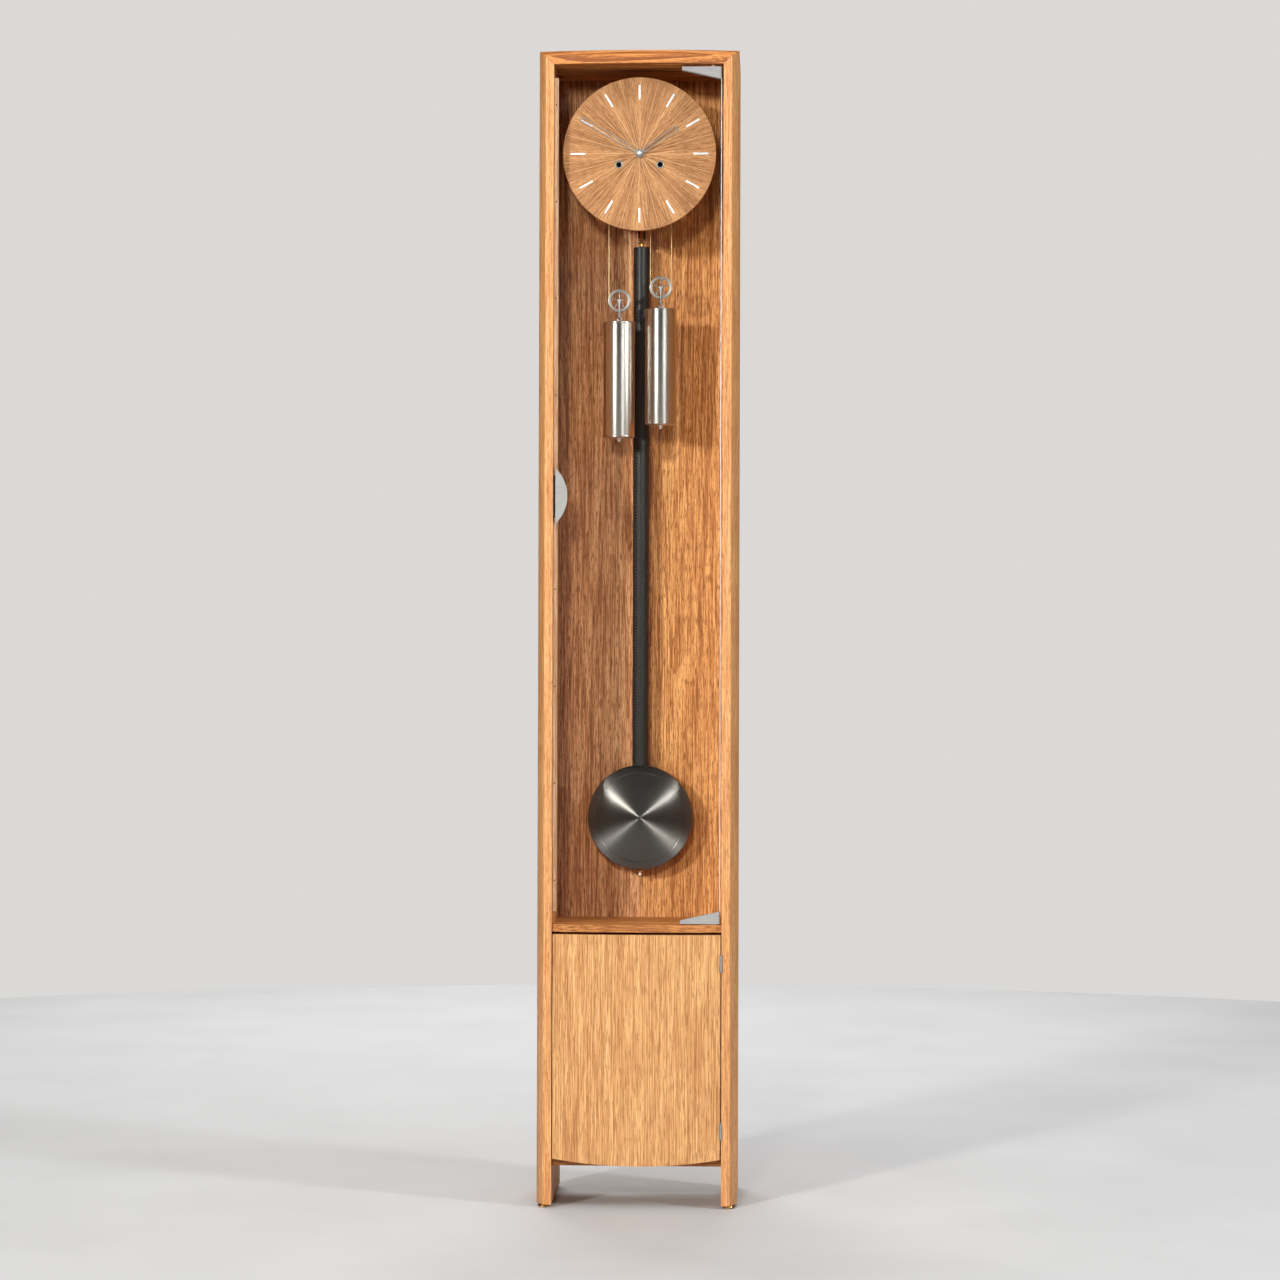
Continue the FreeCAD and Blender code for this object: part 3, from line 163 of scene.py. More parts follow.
def wood_layers(shade, at, tones, lines=(700, 14), dashes=0.5, figure=9.0, ringed=0.05,
                pore=(900, 70), spread=0.09):
    """Oak: lines along the grain, growth rings and short open pores.

    at(across, along) gives coordinates squeezed along the grain, in features per metre.
    """
    light, mid, dark = tones
    streaks = shade.noise(at(*lines), 1.0, 2.5, 0.6)
    bands = shade.noise(at(70, 1.3), 1.0, 2.0, 0.5)
    field = shade.noise(at(9, 0.9), 1.0, 1.5, 0.5)
    rings = shade.math("FRACT", shade.math("MULTIPLY", field, figure))
    streaked = shade.math("MULTIPLY", streaks, 0.88 - ringed)
    tone = shade.math("ADD", streaked, shade.math("MULTIPLY", bands, 0.12))
    tone = shade.math("ADD", tone, shade.math("MULTIPLY", rings, ringed))
    colour = shade.ramp(tone, (0.5 - spread, dark), (0.5, mid), (0.5 + spread, light))
    pores = shade.grey(shade.noise(at(*pore), 1.0, 2.0, 0.6), 0.53, 0.60)
    pores = shade.math("MINIMUM", shade.math("MAXIMUM", pores, 0.0), 1.0)
    deep = tuple(channel * share for channel, share in zip(dark, (0.60, 0.50, 0.42)))
    colour = shade.mix(shade.math("MULTIPLY", pores, dashes), colour, deep)
    return colour, streaks, pores


def oak(name, tones, along="Z", offset=(0, 0, 0), **layers):
    shade = Shade(name)

    def at(across, length):
        return grain_vector(shade, along, across, length, offset)
    finish_wood(shade, *wood_layers(shade, at, TONES[tones], **layers))
    return shade.material


def finish_wood(shade, colour, fibre, pores):
    shade.set("Base Color", colour)
    shade.set("Roughness", shade.grey(fibre, 0.3, 0.7, 0.48, 0.62))
    shade.set("Coat Weight", 0.04)
    shade.set("Coat Roughness", 0.3)
    shade.set("Specular IOR Level", 0.26)
    height = shade.math("SUBTRACT", shade.math("MULTIPLY", fibre, 0.4), pores)
    shade.bump(height, 0.35, 0.0002)


def book_matched_oak(name):
    """Vertical veneer, mirrored about the middle of the back panel."""
    shade = Shade(name)
    spot = shade.node("ShaderNodeTexCoord", out=3)
    parts = shade.tree.nodes.new("ShaderNodeSeparateXYZ")
    shade.tree.links.new(spot, parts.inputs[0])
    x, y, z = parts.outputs
    mirrored = shade.math("ABSOLUTE", x)
    side = shade.math("GREATER_THAN", x, 0.0)
    leaf = shade.math("ADD", mirrored, shade.math("MULTIPLY", side, 0.5))

    def squeezed(across, along):
        return shade.node("ShaderNodeCombineXYZ", {0: shade.math("MULTIPLY", leaf, across),
                                                   1: shade.math("MULTIPLY", y, across),
                                                   2: shade.math("MULTIPLY", z, along)})
    colour, fibre, pores = wood_layers(shade, squeezed, TONES["veneer"], (560, 14), 0.75,
                                       ringed=0.08, pore=(850, 60), spread=0.12)
    # Painted sheen and shade: the left leaf is tinted pinker and the right leaf warmer, as the mirrored
    # leaves take the light differently and the left half gets less light.
    left_leaf_sheen = shade.mix(1.0, colour, (0.96, 0.97, 1.15), "MULTIPLY")
    right_leaf_sheen = shade.mix(1.0, colour, (1.04, 1.0, 0.90), "MULTIPLY")
    colour = shade.mix(side, left_leaf_sheen, right_leaf_sheen)
    seam = shade.math("LESS_THAN", mirrored, 0.0004)
    colour = shade.mix(shade.math("MULTIPLY", seam, 0.6), colour, (0.12, 0.05, 0.02))
    finish_wood(shade, colour, fibre, pores)
    return shade.material


def sunburst_oak(name, wedges=24):
    """Veneer cut in wedges, each with its grain running out from the dial's centre."""
    shade = Shade(name)
    spot = shade.node("ShaderNodeTexCoord", out=3)
    shifted = shade.node("ShaderNodeVectorMath", {0: spot, 1: tuple(-DIAL)}, operation="ADD")
    parts = shade.tree.nodes.new("ShaderNodeSeparateXYZ")
    shade.tree.links.new(shifted, parts.inputs[0])
    x, y, z = parts.outputs
    angle = shade.math("ARCTAN2", x, z)
    turn = 2 * math.pi / wedges
    wedge = shade.math("FLOOR", shade.math("DIVIDE", angle, turn))
    centre = shade.math("MULTIPLY", shade.math("ADD", wedge, 0.5), turn)
    inside = shade.math("SUBTRACT", angle, centre)
    radius = shade.math("SQRT", shade.math("ADD", shade.math("MULTIPLY", x, x),
                                           shade.math("MULTIPLY", z, z)))
    out = shade.math("MULTIPLY", radius, shade.math("COSINE", inside))
    across = shade.math("MULTIPLY", radius, shade.math("SINE", inside))
    odd = shade.math("MODULO", shade.math("ABSOLUTE", wedge), 2.0)
    flip = shade.math("SUBTRACT", 1.0, shade.math("MULTIPLY", odd, 2.0))
    across = shade.math("MULTIPLY", across, flip)
    pair = shade.math("FLOOR", shade.math("DIVIDE", wedge, 2.0))

    def squeezed(wide, long):
        return shade.node("ShaderNodeCombineXYZ", {0: shade.math("MULTIPLY", across, wide),
                                                   1: shade.math("MULTIPLY", pair, 7.3),
                                                   2: shade.math("MULTIPLY", out, long)})
    colour, fibre, pores = wood_layers(shade, squeezed, TONES["dial"], (1000, 26), 0.5,
                                       ringed=0.02, pore=(950, 110), spread=0.14)
    # Painted shade: each wedge darkens from one edge to the other, the other way round in alternate wedges,
    # as each wedge takes the light at its own angle.
    shadow = shade.mix(1.0, colour, (0.72, 0.66, 0.60), "MULTIPLY")
    slope = shade.grey(shade.math("MULTIPLY", inside, flip), -turn / 2, turn / 2)
    colour = shade.mix(slope, colour, shadow)
    # Painted highlight and shade along every seam: a pale line on the side of the even wedge and a dark line
    # on the side of the odd wedge.
    edge = shade.math("SUBTRACT", turn / 2, shade.math("ABSOLUTE", inside))
    seam = shade.math("LESS_THAN", shade.math("MULTIPLY", edge, radius), 0.0008)
    gleam = shade.mix(odd, (0.92, 0.56, 0.28), (0.34, 0.14, 0.05))
    colour = shade.mix(shade.math("MULTIPLY", seam, 0.55), colour, gleam)
    finish_wood(shade, colour, fibre, pores)
    return shade.material


def steel(name, colour, rough, stretch, tangent="Z", anisotropic=0.5, line=0.25, spot=0.12, metal=1.0):
    """Metal turned about one axis: fine rings, a faint haze and small changes of polish."""
    shade = Shade(name)
    lines = shade.noise(shade.place(stretch), 1.0, 3.0, 0.6)
    haze = shade.noise(shade.place((34, 34, 34)), 1.0, 3.0, 0.6)
    tint = tuple(min(1.0, channel * 1.12) for channel in colour)
    deep = tuple(channel * 0.82 for channel in colour)
    shade.set("Base Color", shade.ramp(lines, (0.32, deep), (0.5, colour), (0.7, tint)))
    shade.set("Metallic", metal)
    worn = shade.math("ADD", shade.math("MULTIPLY", lines, spot), shade.math("MULTIPLY", haze, spot))
    shade.set("Roughness", shade.math("ADD", worn, rough - spot))
    shade.set("Anisotropic", anisotropic)
    shade.set("Anisotropic Rotation", 0.25)
    tangent_at = shade.node("ShaderNodeTangent", direction_type="RADIAL", axis=tangent)
    shade.set("Tangent", tangent_at)
    shade.bump(lines, line, 0.00006)
    return shade.material


def spun_steel(name):
    """Lathe-spun dark nickel: rings about the pendulum's own axis, which give cone-shaped gleams."""
    shade = Shade(name)
    spot = shade.node("ShaderNodeTexCoord", out=3)
    shifted = shade.node("ShaderNodeVectorMath", {0: spot, 1: tuple(-middle("pendulum_bob"))},
                         operation="ADD")
    flat = shade.node("ShaderNodeVectorMath", {0: shifted, 1: (1, 0, 1)}, operation="MULTIPLY")
    radius = shade.node("ShaderNodeVectorMath", {0: flat}, out=1, operation="LENGTH")
    ringed = shade.node("ShaderNodeCombineXYZ", {0: shade.math("MULTIPLY", radius, 2600)})
    rings = shade.noise(ringed, 1.0, 4.0, 0.7)
    shade.set("Base Color", shade.ramp(rings, (0.3, (0.155, 0.143, 0.133)), (0.7, (0.225, 0.209, 0.196))))
    shade.set("Metallic", 1.0)
    shade.set("Roughness", shade.grey(rings, 0.3, 0.7, 0.28, 0.34))
    shade.set("Anisotropic", 0.98)
    shade.set("Anisotropic Rotation", 0.25)
    shade.set("Tangent", shade.node("ShaderNodeTangent", direction_type="RADIAL", axis="Y"))
    shade.bump(rings, 0.12, 0.00005)
    return shade.material


def carbon(name):
    """Charcoal rod with a fine woven look."""
    shade = Shade(name)
    weave = shade.node("ShaderNodeTexWave", {"Vector": shade.place((1, 1, 1)), "Scale": 130.0,
                                             "Distortion": 1.6, "Detail": 2.0, "Detail Scale": 6.0},
                       out=1, wave_type="BANDS", bands_direction="DIAGONAL")
    fleck = shade.noise(shade.place((700, 700, 500)), 1.0, 3.0, 0.6)
    both = shade.math("MULTIPLY", weave, fleck)
    shade.set("Base Color", shade.ramp(both, (0.15, (0.006, 0.006, 0.0058)), (0.6, (0.05, 0.047, 0.043))))
    shade.set("Roughness", shade.grey(fleck, 0.3, 0.7, 0.42, 0.6))
    shade.set("Coat Weight", 0.06)
    shade.set("Coat Roughness", 0.2)
    shade.set("Specular IOR Level", 0.35)
    shade.bump(both, 0.1, 0.0001)
    return shade.material


def black_plastic(name):
    shade = Shade(name)
    grain = shade.noise(shade.place((900, 900, 900)), 1.0, 3.0, 0.6)
    shade.set("Base Color", shade.ramp(grain, (0.3, (0.006, 0.006, 0.006)), (0.7, (0.018, 0.017, 0.016))))
    shade.set("Roughness", shade.grey(grain, 0.3, 0.7, 0.45, 0.62))
    shade.bump(grain, 0.2, 0.0001)
    return shade.material


def clear_glass(name):
    """Float glass that shadow, diffuse and glossy rays pass straight through, so lamplight counts once.

    Cycles calls a refracted ray glossy too, so it isn't bent back at the exit face: what is behind the
    pane is shifted a little from the front, and a lot at a grazing angle.
    """
    shade = Shade(name)
    tint = shade.noise(shade.place((5, 5, 2)), 1.0, 2.0, 0.5)
    shade.set("Base Color", shade.ramp(tint, (0.3, (0.975, 0.992, 0.985)), (0.7, (0.99, 0.998, 0.994))))
    shade.set("Transmission Weight", 1.0)
    shade.set("IOR", 1.14)
    shade.set("Roughness", 0.0)
    path = shade.tree.nodes.new("ShaderNodeLightPath")
    mix = shade.tree.nodes.new("ShaderNodeMixShader")
    clear = shade.node("ShaderNodeBsdfTransparent", {"Color": (0.97, 0.98, 0.975, 1)})
    output = shade.tree.nodes["Material Output"]
    passing = shade.math("MAXIMUM", path.outputs["Is Shadow Ray"], path.outputs["Is Diffuse Ray"])
    passing = shade.math("MAXIMUM", passing, path.outputs["Is Glossy Ray"])
    shade.tree.links.new(passing, mix.inputs[0])
    shade.tree.links.new(shade.surface.outputs[0], mix.inputs[1])
    shade.tree.links.new(clear, mix.inputs[2])
    shade.tree.links.new(mix.outputs[0], output.inputs["Surface"])
    return shade.material


def cable_metal(name):
    """Brass cable: its lay shows as slanted lines, with painted shade in the darker bands and a painted
    highlight in the paler ones.
    """
    shade = Shade(name)
    lay = shade.node("ShaderNodeTexWave", {"Vector": shade.place((1, 1, 0.8)), "Scale": 420.0},
                     out=1, wave_type="BANDS", bands_direction="DIAGONAL")
    shade.set("Base Color", shade.ramp(lay, (0.2, (0.62, 0.40, 0.16)), (0.7, (0.98, 0.76, 0.42))))
    shade.set("Metallic", 0.55)
    shade.set("Roughness", shade.grey(lay, 0.0, 1.0, 0.42, 0.28))
    shade.bump(lay, 0.5, 0.0002)
    return shade.material


MATERIALS = {
    "case_oak": oak("case_oak", "case", spread=0.13),
    "top_oak": oak("top_oak", "top", "X", (0.3, 0, 2), figure=16.0, ringed=0.3),
    "shelf_oak": oak("shelf_oak", "shelf", "X", (1.3, 0, 5)),
    "door_oak": oak("door_oak", "door", "Z", (0.7, 0, 3), lines=(620, 9), dashes=0.6, pore=(800, 40),
                    spread=0.11),
    "bead_oak": oak("bead_oak", "bead", "Z", (2.1, 0, 1), dashes=0.3, figure=3.0),
    "veneer_oak": book_matched_oak("veneer_oak"),
    "dial_oak": sunburst_oak("dial_oak"),
    "satin_steel": steel("satin_steel", (0.47, 0.46, 0.445), 0.44, (60, 60, 1500), "Z", 0.3, 0.08, 0.05,
                          0.6),
    "bright_steel": steel("bright_steel", (0.93, 0.915, 0.895), 0.45, (120, 120, 120), "Y", 0.1, 0.02, 0.03,
                          0.45),
    "weight_steel": steel("weight_steel", (0.61, 0.55, 0.50), 0.31, (2, 2, 2200), "Z", 0.66, 0.004, 0.03),
    "bob_steel": spun_steel("bob_steel"),
    "hand_steel": steel("hand_steel", (0.36, 0.33, 0.30), 0.42, (500, 300, 500), "Y", 0.2, 0.06, 0.05,
                        0.8),
    "carbon_rod": carbon("carbon_rod"),
    "black_plastic": black_plastic("black_plastic"),
    "brass": steel("brass", (0.72, 0.44, 0.16), 0.24, (90, 90, 1500), "Z", 0.3, 0.1, 0.06),
    "cable_brass": cable_metal("cable_brass"),
    "clear_glass": clear_glass("clear_glass"),
}
NODE_LOOK = {"top_board": "top_oak", "shelf": "shelf_oak", "cupboard_floor": "shelf_oak",
             "cupboard_case_hinges": "hand_steel", "cupboard_door_hinges": "hand_steel"}


def look(node):
    return MATERIALS[NODE_LOOK.get(node, SLOT_OF[node])]


def dress_nodes():
    """Every carried-over CAD node takes its slot's material, or the one NODE_LOOK gives it."""
    for node in SLOT_OF:
        thing = bpy.data.objects[node]
        thing.data.materials.clear()
        thing.data.materials.append(look(node))


# ---- finer pieces ----
def adopt(thing, node, replaced=(), look_as=None):
    """Give a piece the body of its CAD node, and that node's material or another's."""
    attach(thing, BODY_OF[node])
    thing.data.materials.clear()
    thing.data.materials.append(MATERIALS[look_as] if look_as else look(node))
    if replaced:
        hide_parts(*replaced)
    return thing


def from_bmesh(mesh, name):
    data = bpy.data.meshes.new(name)
    bmesh.ops.recalc_face_normals(mesh, faces=mesh.faces)
    mesh.to_mesh(data)
    mesh.free()
    thing = bpy.data.objects.new(name, data)
    bpy.context.collection.objects.link(thing)
    return thing


def smooth(thing, angle=32):
    thing.data.shade_smooth()
    thing.data.set_sharp_from_angle(angle=math.radians(angle))
    return thing


def soften(node, width=0.8 * MM, segments=2, corner=28):
    """The node's own shape with its sharp edges eased, as a sanded or ground edge is."""
    mesh = bmesh.new()
    mesh.from_mesh(bpy.data.objects[node].data)
    bmesh.ops.remove_doubles(mesh, verts=mesh.verts, dist=0.00001)
    bmesh.ops.dissolve_limit(mesh, angle_limit=math.radians(0.4), verts=mesh.verts, edges=mesh.edges)
    bmesh.ops.recalc_face_normals(mesh, faces=mesh.faces)
    sharp = [edge for edge in mesh.edges
             if len(edge.link_faces) == 2 and edge.calc_face_angle(0) > math.radians(corner)]
    bmesh.ops.bevel(mesh, geom=sharp, offset=width, segments=segments, profile=0.5,
                    affect="EDGES", clamp_overlap=True)
    thing = from_bmesh(mesh, f"{node}_eased")
    smooth(thing)
    weigh = thing.modifiers.new("flat_faces", "WEIGHTED_NORMAL")
    weigh.keep_sharp = True
    return adopt(thing, node, [node])


def lathe(mesh, profile, centre, axis="Z", steps=96, start=0.0):
    """Turn (radius, height) points about an axis through centre."""
    turn = {"Z": Matrix.Identity(3), "Y": Matrix.Rotation(math.radians(-90), 3, "X"),
            "X": Matrix.Rotation(math.radians(90), 3, "Y")}[axis]
    rings = []
    for radius, height in profile:
        if radius < 1e-7:
            rings.append([mesh.verts.new(Vector(centre) + turn @ Vector((0, 0, height)))])
            continue
        ring = []
        for step in range(steps):
            angle = start + 2 * math.pi * step / steps
            spot = Vector((radius * math.cos(angle), radius * math.sin(angle), height))
            ring.append(mesh.verts.new(Vector(centre) + turn @ spot))
        rings.append(ring)
    for low, high in zip(rings, rings[1:]):
        join_rings(mesh, low, high)
    return rings


def join_rings(mesh, low, high):
    count = max(len(low), len(high))
    if count == 1:
        return
    for step in range(count):
        corners = [low[step % len(low)], low[(step + 1) % len(low)],
                   high[(step + 1) % len(high)], high[step % len(high)]]
        unique = list(dict.fromkeys(corners))
        if len(unique) > 2:
            mesh.faces.new(unique)


def rounded(points, radius, steps=4):
    """Round every inner corner of a (radius, height) profile."""
    result = [points[0]]
    for before, here, after in zip(points, points[1:], points[2:]):
        here_at = Vector(here)
        back = Vector(before) - here_at
        ahead = Vector(after) - here_at
        reach = min(radius, back.length / 2.2, ahead.length / 2.2)
        first = here_at + back.normalized() * reach
        last = here_at + ahead.normalized() * reach
        for step in range(steps + 1):
            part = step / steps
            result.append(tuple(first.lerp(here_at, part).lerp(here_at.lerp(last, part), part)))
    result.append(points[-1])
    return result


def sweep(mesh, path, radius, sides=12):
    """A round wire along a path, closed at both ends; radius is one number or one for each point."""
    path = [Vector(point) for point in path]
    radii = radius if isinstance(radius, list) else [radius] * len(path)
    side = (path[1] - path[0]).orthogonal().normalized()
    loops = []
    for step, (spot, wide) in enumerate(zip(path, radii)):
        way = (path[min(step + 1, len(path) - 1)] - path[max(step - 1, 0)]).normalized()
        side = (side - way * side.dot(way)).normalized()
        other = way.cross(side)
        loops.append([mesh.verts.new(spot + wide * (math.cos(a) * side + math.sin(a) * other))
                      for a in (2 * math.pi * turn / sides for turn in range(sides))])
    for low, high in zip(loops, loops[1:]):
        join_rings(mesh, low, high)
    mesh.faces.new(list(reversed(loops[0])))
    mesh.faces.new(loops[-1])


def straight(start, end, parts=1):
    start, end = Vector(start), Vector(end)
    return [start.lerp(end, part / parts) for part in range(parts + 1)]


def carve(thing, cutter):
    """Cut one piece's shape out of another."""
    tool = thing.modifiers.new("cut", "BOOLEAN")
    tool.object = cutter
    tool.solver = "EXACT"
    bpy.context.view_layer.update()
    made = bpy.data.meshes.new_from_object(thing.evaluated_get(bpy.context.evaluated_depsgraph_get()))
    thing.modifiers.clear()
    thing.data = made
    bpy.data.objects.remove(cutter)


def block(mesh, low, high, ease=0.0):
    """A box with eased edges."""
    low, high = Vector(low), Vector(high)
    made = bmesh.ops.create_cube(mesh, size=1.0, matrix=Matrix.Translation((low + high) / 2)
                                 @ Matrix.Diagonal((*(high - low), 1)))
    if ease:
        edges = list({edge for vert in made["verts"] for edge in vert.link_edges})
        bmesh.ops.bevel(mesh, geom=edges, offset=ease, segments=2, profile=0.5, affect="EDGES")


# ---- pendulum ----
def make_bob():
    centre = middle("pendulum_bob")
    radius, half = size("pendulum_bob").x / 2, size("pendulum_bob").y / 2
    ring = radius * 70 / 82.5
    crown = [(0, -half), (radius * 0.1, -half + 0.1 * MM), (ring - 0.6 * MM, 4.1 * MM - half),
             (ring, 4.7 * MM - half), (ring + 0.6 * MM, 4.2 * MM - half),
             (radius - 0.8 * MM, 6.2 * MM - half),
             (radius, 7.2 * MM - half)]
    profile = rounded(crown + [(r, -h) for r, h in reversed(crown)], 0.5 * MM)
    mesh = bmesh.new()
    lathe(mesh, profile, centre, "Y", 192)
    bob = smooth(from_bmesh(mesh, "bob_lens"), 50)
    adopt(bob, "pendulum_bob", ["pendulum_bob"])


def make_rod():
    low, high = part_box("pendulum_rod")
    radius = size("pendulum_rod").x / 2
    top = size("pendulum_rod").z
    profile = rounded([(0, 0), (radius, 0), (radius, top), (0, top)], 0.9 * MM)
    mesh = bmesh.new()
    lathe(mesh, profile, (middle("pendulum_rod").x, middle("pendulum_rod").y, low[2]), "Z", 64)
    adopt(smooth(from_bmesh(mesh, "rod_stick"), 50), "pendulum_rod", ["pendulum_rod"])


def make_rating_nut():
    centre = middle("rating_nut")
    half = size("rating_nut").z / 2
    mesh = bmesh.new()
    steps = 48
    radius = size("rating_nut").x / 2
    rings = lathe(mesh, rounded([(2.1 * MM, -half), (radius - 0.3 * MM, -half), (radius - 0.1 * MM, 0),
                                 (radius - 0.3 * MM, half), (2.1 * MM, half)], 0.3 * MM, 2),
                  centre, "Z", steps)
    for ring in rings[2:-2]:
        for step in range(0, steps, 2):
            out = ring[step].co - centre
            ring[step].co = centre + Vector((out.x * 0.94, out.y * 0.94, out.z))
    join_rings(mesh, rings[-1], rings[0])
    adopt(smooth(from_bmesh(mesh, "rating_nut_knurled"), 40), "rating_nut", ["rating_nut"])


def make_leader():
    """Black sleeves on the leader's side rods, and the screws of its head and yoke."""
    low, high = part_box("pendulum_leader")
    x, y = middle("pendulum_leader").x, middle("pendulum_leader").y
    yoke_top, head = low.z + 11.6 * MM, high.z - 4 * MM
    mesh = bmesh.new()
    for side in (-1, 1):
        sweep(mesh, straight((x + side * 4.2 * MM, y, yoke_top + 2 * MM), (x + side * 4.2 * MM, y, head)),
              1.7 * MM, 20)
    thing = smooth(from_bmesh(mesh, "leader_sleeves"), 50)
    adopt(thing, "pendulum_leader", look_as="black_plastic")
    mesh = bmesh.new()
    for z in (yoke_top - 2.8 * MM, high.z - 2 * MM):
        for side in (-1, 1):
            lathe(mesh, rounded([(0, -1.0 * MM), (1.2 * MM, -0.9 * MM), (1.2 * MM, 0.3 * MM)], 0.3 * MM),
                  (x + side * 4.2 * MM, low.y, z), "Y", 24)
    adopt(smooth(from_bmesh(mesh, "leader_screws"), 40), "pendulum_leader", look_as="hand_steel")


def make_spring():
    """Flat suspension spring between its cock and the swinging leader."""
    low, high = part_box("suspension_spring")
    mesh = bmesh.new()
    parts = 14
    rings = [[mesh.verts.new((x, y, low.z + (high.z - low.z) * part / parts))
              for x, y in ((low.x, low.y), (high.x, low.y), (high.x, high.y), (low.x, high.y))]
             for part in range(parts + 1)]
    for under, over in zip(rings, rings[1:]):
        join_rings(mesh, under, over)
    mesh.faces.new(list(reversed(rings[0])))
    mesh.faces.new(rings[-1])
    thing = from_bmesh(mesh, "spring_strip")
    thing.data.materials.append(look("suspension_spring"))
    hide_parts("suspension_spring")
    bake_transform(thing)


# ---- weights, pulleys and cables ----
def make_weight(line):
    node = f"{line}_weight"
    low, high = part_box(node)
    centre, radius, tall = middle(node), size(node).x / 2, size(node).z
    groove = radius - 0.45 * MM
    profile = [(0, 0), (radius - 3 * MM, 0), (radius, 1.2 * MM)]
    for level in (3.9 * MM, tall - 3.9 * MM):
        profile += [(radius, level - 0.35 * MM), (groove, level - 0.2 * MM), (groove, level + 0.2 * MM),
                    (radius, level + 0.35 * MM)]
    profile += [(radius, tall - 1.2 * MM), (radius - 3 * MM, tall), (0, tall)]
    mesh = bmesh.new()
    lathe(mesh, rounded(profile, 0.25 * MM, 2), (centre.x, centre.y, low[2]), "Z", 128)
    adopt(smooth(from_bmesh(mesh, f"{line}_weight_shell"), 50), node, [node])
    mesh = bmesh.new()
    lathe(mesh, rounded([(0, -5.5 * MM), (2.0 * MM, -5.2 * MM), (2.6 * MM, -1.2 * MM), (4.2 * MM, -1 * MM),
                         (4.2 * MM, 0.1 * MM)], 0.4 * MM), (centre.x, centre.y, low[2]), "Z", 32)
    lathe(mesh, rounded([(4.4 * MM, -0.1 * MM), (4.4 * MM, 1.6 * MM), (1.5 * MM, 2.6 * MM)], 0.5 * MM),
          (centre.x, centre.y, high[2]), "Z", 32)
    adopt(smooth(from_bmesh(mesh, f"{line}_weight_nuts"), 40), f"{line}_hanger")


def make_hanger(line):
    """Axle with its washers, two slim straps, a turned knuckle and the wire hook in the weight's eye."""
    node = f"{line}_hanger"
    axle = middle(f"{line}_pulley")
    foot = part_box(node)[0].z
    out = size(node).y / 2
    mesh = bmesh.new()
    washer = [(0, -out - 0.3 * MM), (1.5 * MM, -out - 0.2 * MM), (1.5 * MM, 0.4 * MM - out),
              (2.7 * MM, 0.4 * MM - out),
              (2.7 * MM, 1.3 * MM - out), (1.5 * MM, 1.3 * MM - out)]
    lathe(mesh, rounded(washer + [(r, -h) for r, h in reversed(washer)], 0.25 * MM, 2), axle, "Y", 32)
    knuckle = axle.z - 22.5 * MM
    for side in (-1, 1):
        y = axle.y + side * (out - 0.7 * MM)
        sweep(mesh, [(axle.x, y, axle.z + 1.5 * MM), (axle.x, y, axle.z - 8 * MM),
                     (axle.x, y, axle.z - 18 * MM),
                     (axle.x, axle.y + side * 1.6 * MM, knuckle + 0.6 * MM), (axle.x, axle.y, knuckle)],
              [1.9 * MM, 1.5 * MM, 1.1 * MM, 1.3 * MM, 1.3 * MM], 16)
    lathe(mesh, rounded([(0, 3.0 * MM), (2.0 * MM, 2.6 * MM), (3.3 * MM, 0.6 * MM), (1.5 * MM, -1.6 * MM),
                         (2.2 * MM, -3.2 * MM), (0, -4 * MM)], 0.5 * MM), (axle.x, axle.y, knuckle), "Z", 32)
    ring = 2.9 * MM
    centre = Vector((axle.x, axle.y, knuckle - 3.6 * MM - ring))
    turns = [math.radians(100 - 300 * step / 30) for step in range(31)]
    wire = [centre + ring * Vector((math.cos(turn), 0, math.sin(turn))) for turn in turns]
    sweep(mesh, wire, 0.95 * MM)
    sweep(mesh, straight((axle.x, axle.y, foot), (axle.x, axle.y, centre.z - 1.6 * MM), 2), 1.5 * MM, 20)
    adopt(smooth(from_bmesh(mesh, f"{line}_hanger_hook"), 50), node, [node], "satin_steel")


def make_pulley(line):
    node = f"{line}_pulley"
    centre = middle(node)
    outer, half = size(node).x / 2, size(node).y / 2
    groove = outer - 2 * MM
    mesh = bmesh.new()
    inner = groove - 2.2 * MM
    rim = [(inner, -half + 0.4 * MM), (groove + 0.5 * MM, -half), (outer, -half + 0.2 * MM),
           (outer - 0.2 * MM, -half + 0.9 * MM), (groove, -0.7 * MM), (groove, 0.7 * MM),
           (outer - 0.2 * MM, half - 0.9 * MM), (outer, half - 0.2 * MM), (groove + 0.5 * MM, half),
           (inner, half - 0.4 * MM)]
    rings = lathe(mesh, rounded(rim, 0.25 * MM, 2), centre, "Y", 96)
    join_rings(mesh, rings[-1], rings[0])
    bore = 1.56 * MM
    rings = lathe(mesh, rounded([(bore, -half), (3.0 * MM, -half), (3.6 * MM, -half + 0.8 * MM),
                                 (3.6 * MM, half - 0.8 * MM), (3.0 * MM, half), (bore, half)], 0.3 * MM, 2),
                  centre, "Y", 48)
    join_rings(mesh, rings[-1], rings[0])
    for spoke in range(5):
        way = Matrix.Rotation(math.radians(72 * spoke), 3, "Y") @ Vector((0, 0, 1))
        sweep(mesh, straight(centre + way * 3.2 * MM, centre + way * (inner + 0.4 * MM)), 0.9 * MM)
    adopt(smooth(from_bmesh(mesh, f"{line}_pulley_wheel"), 40), node, [node])


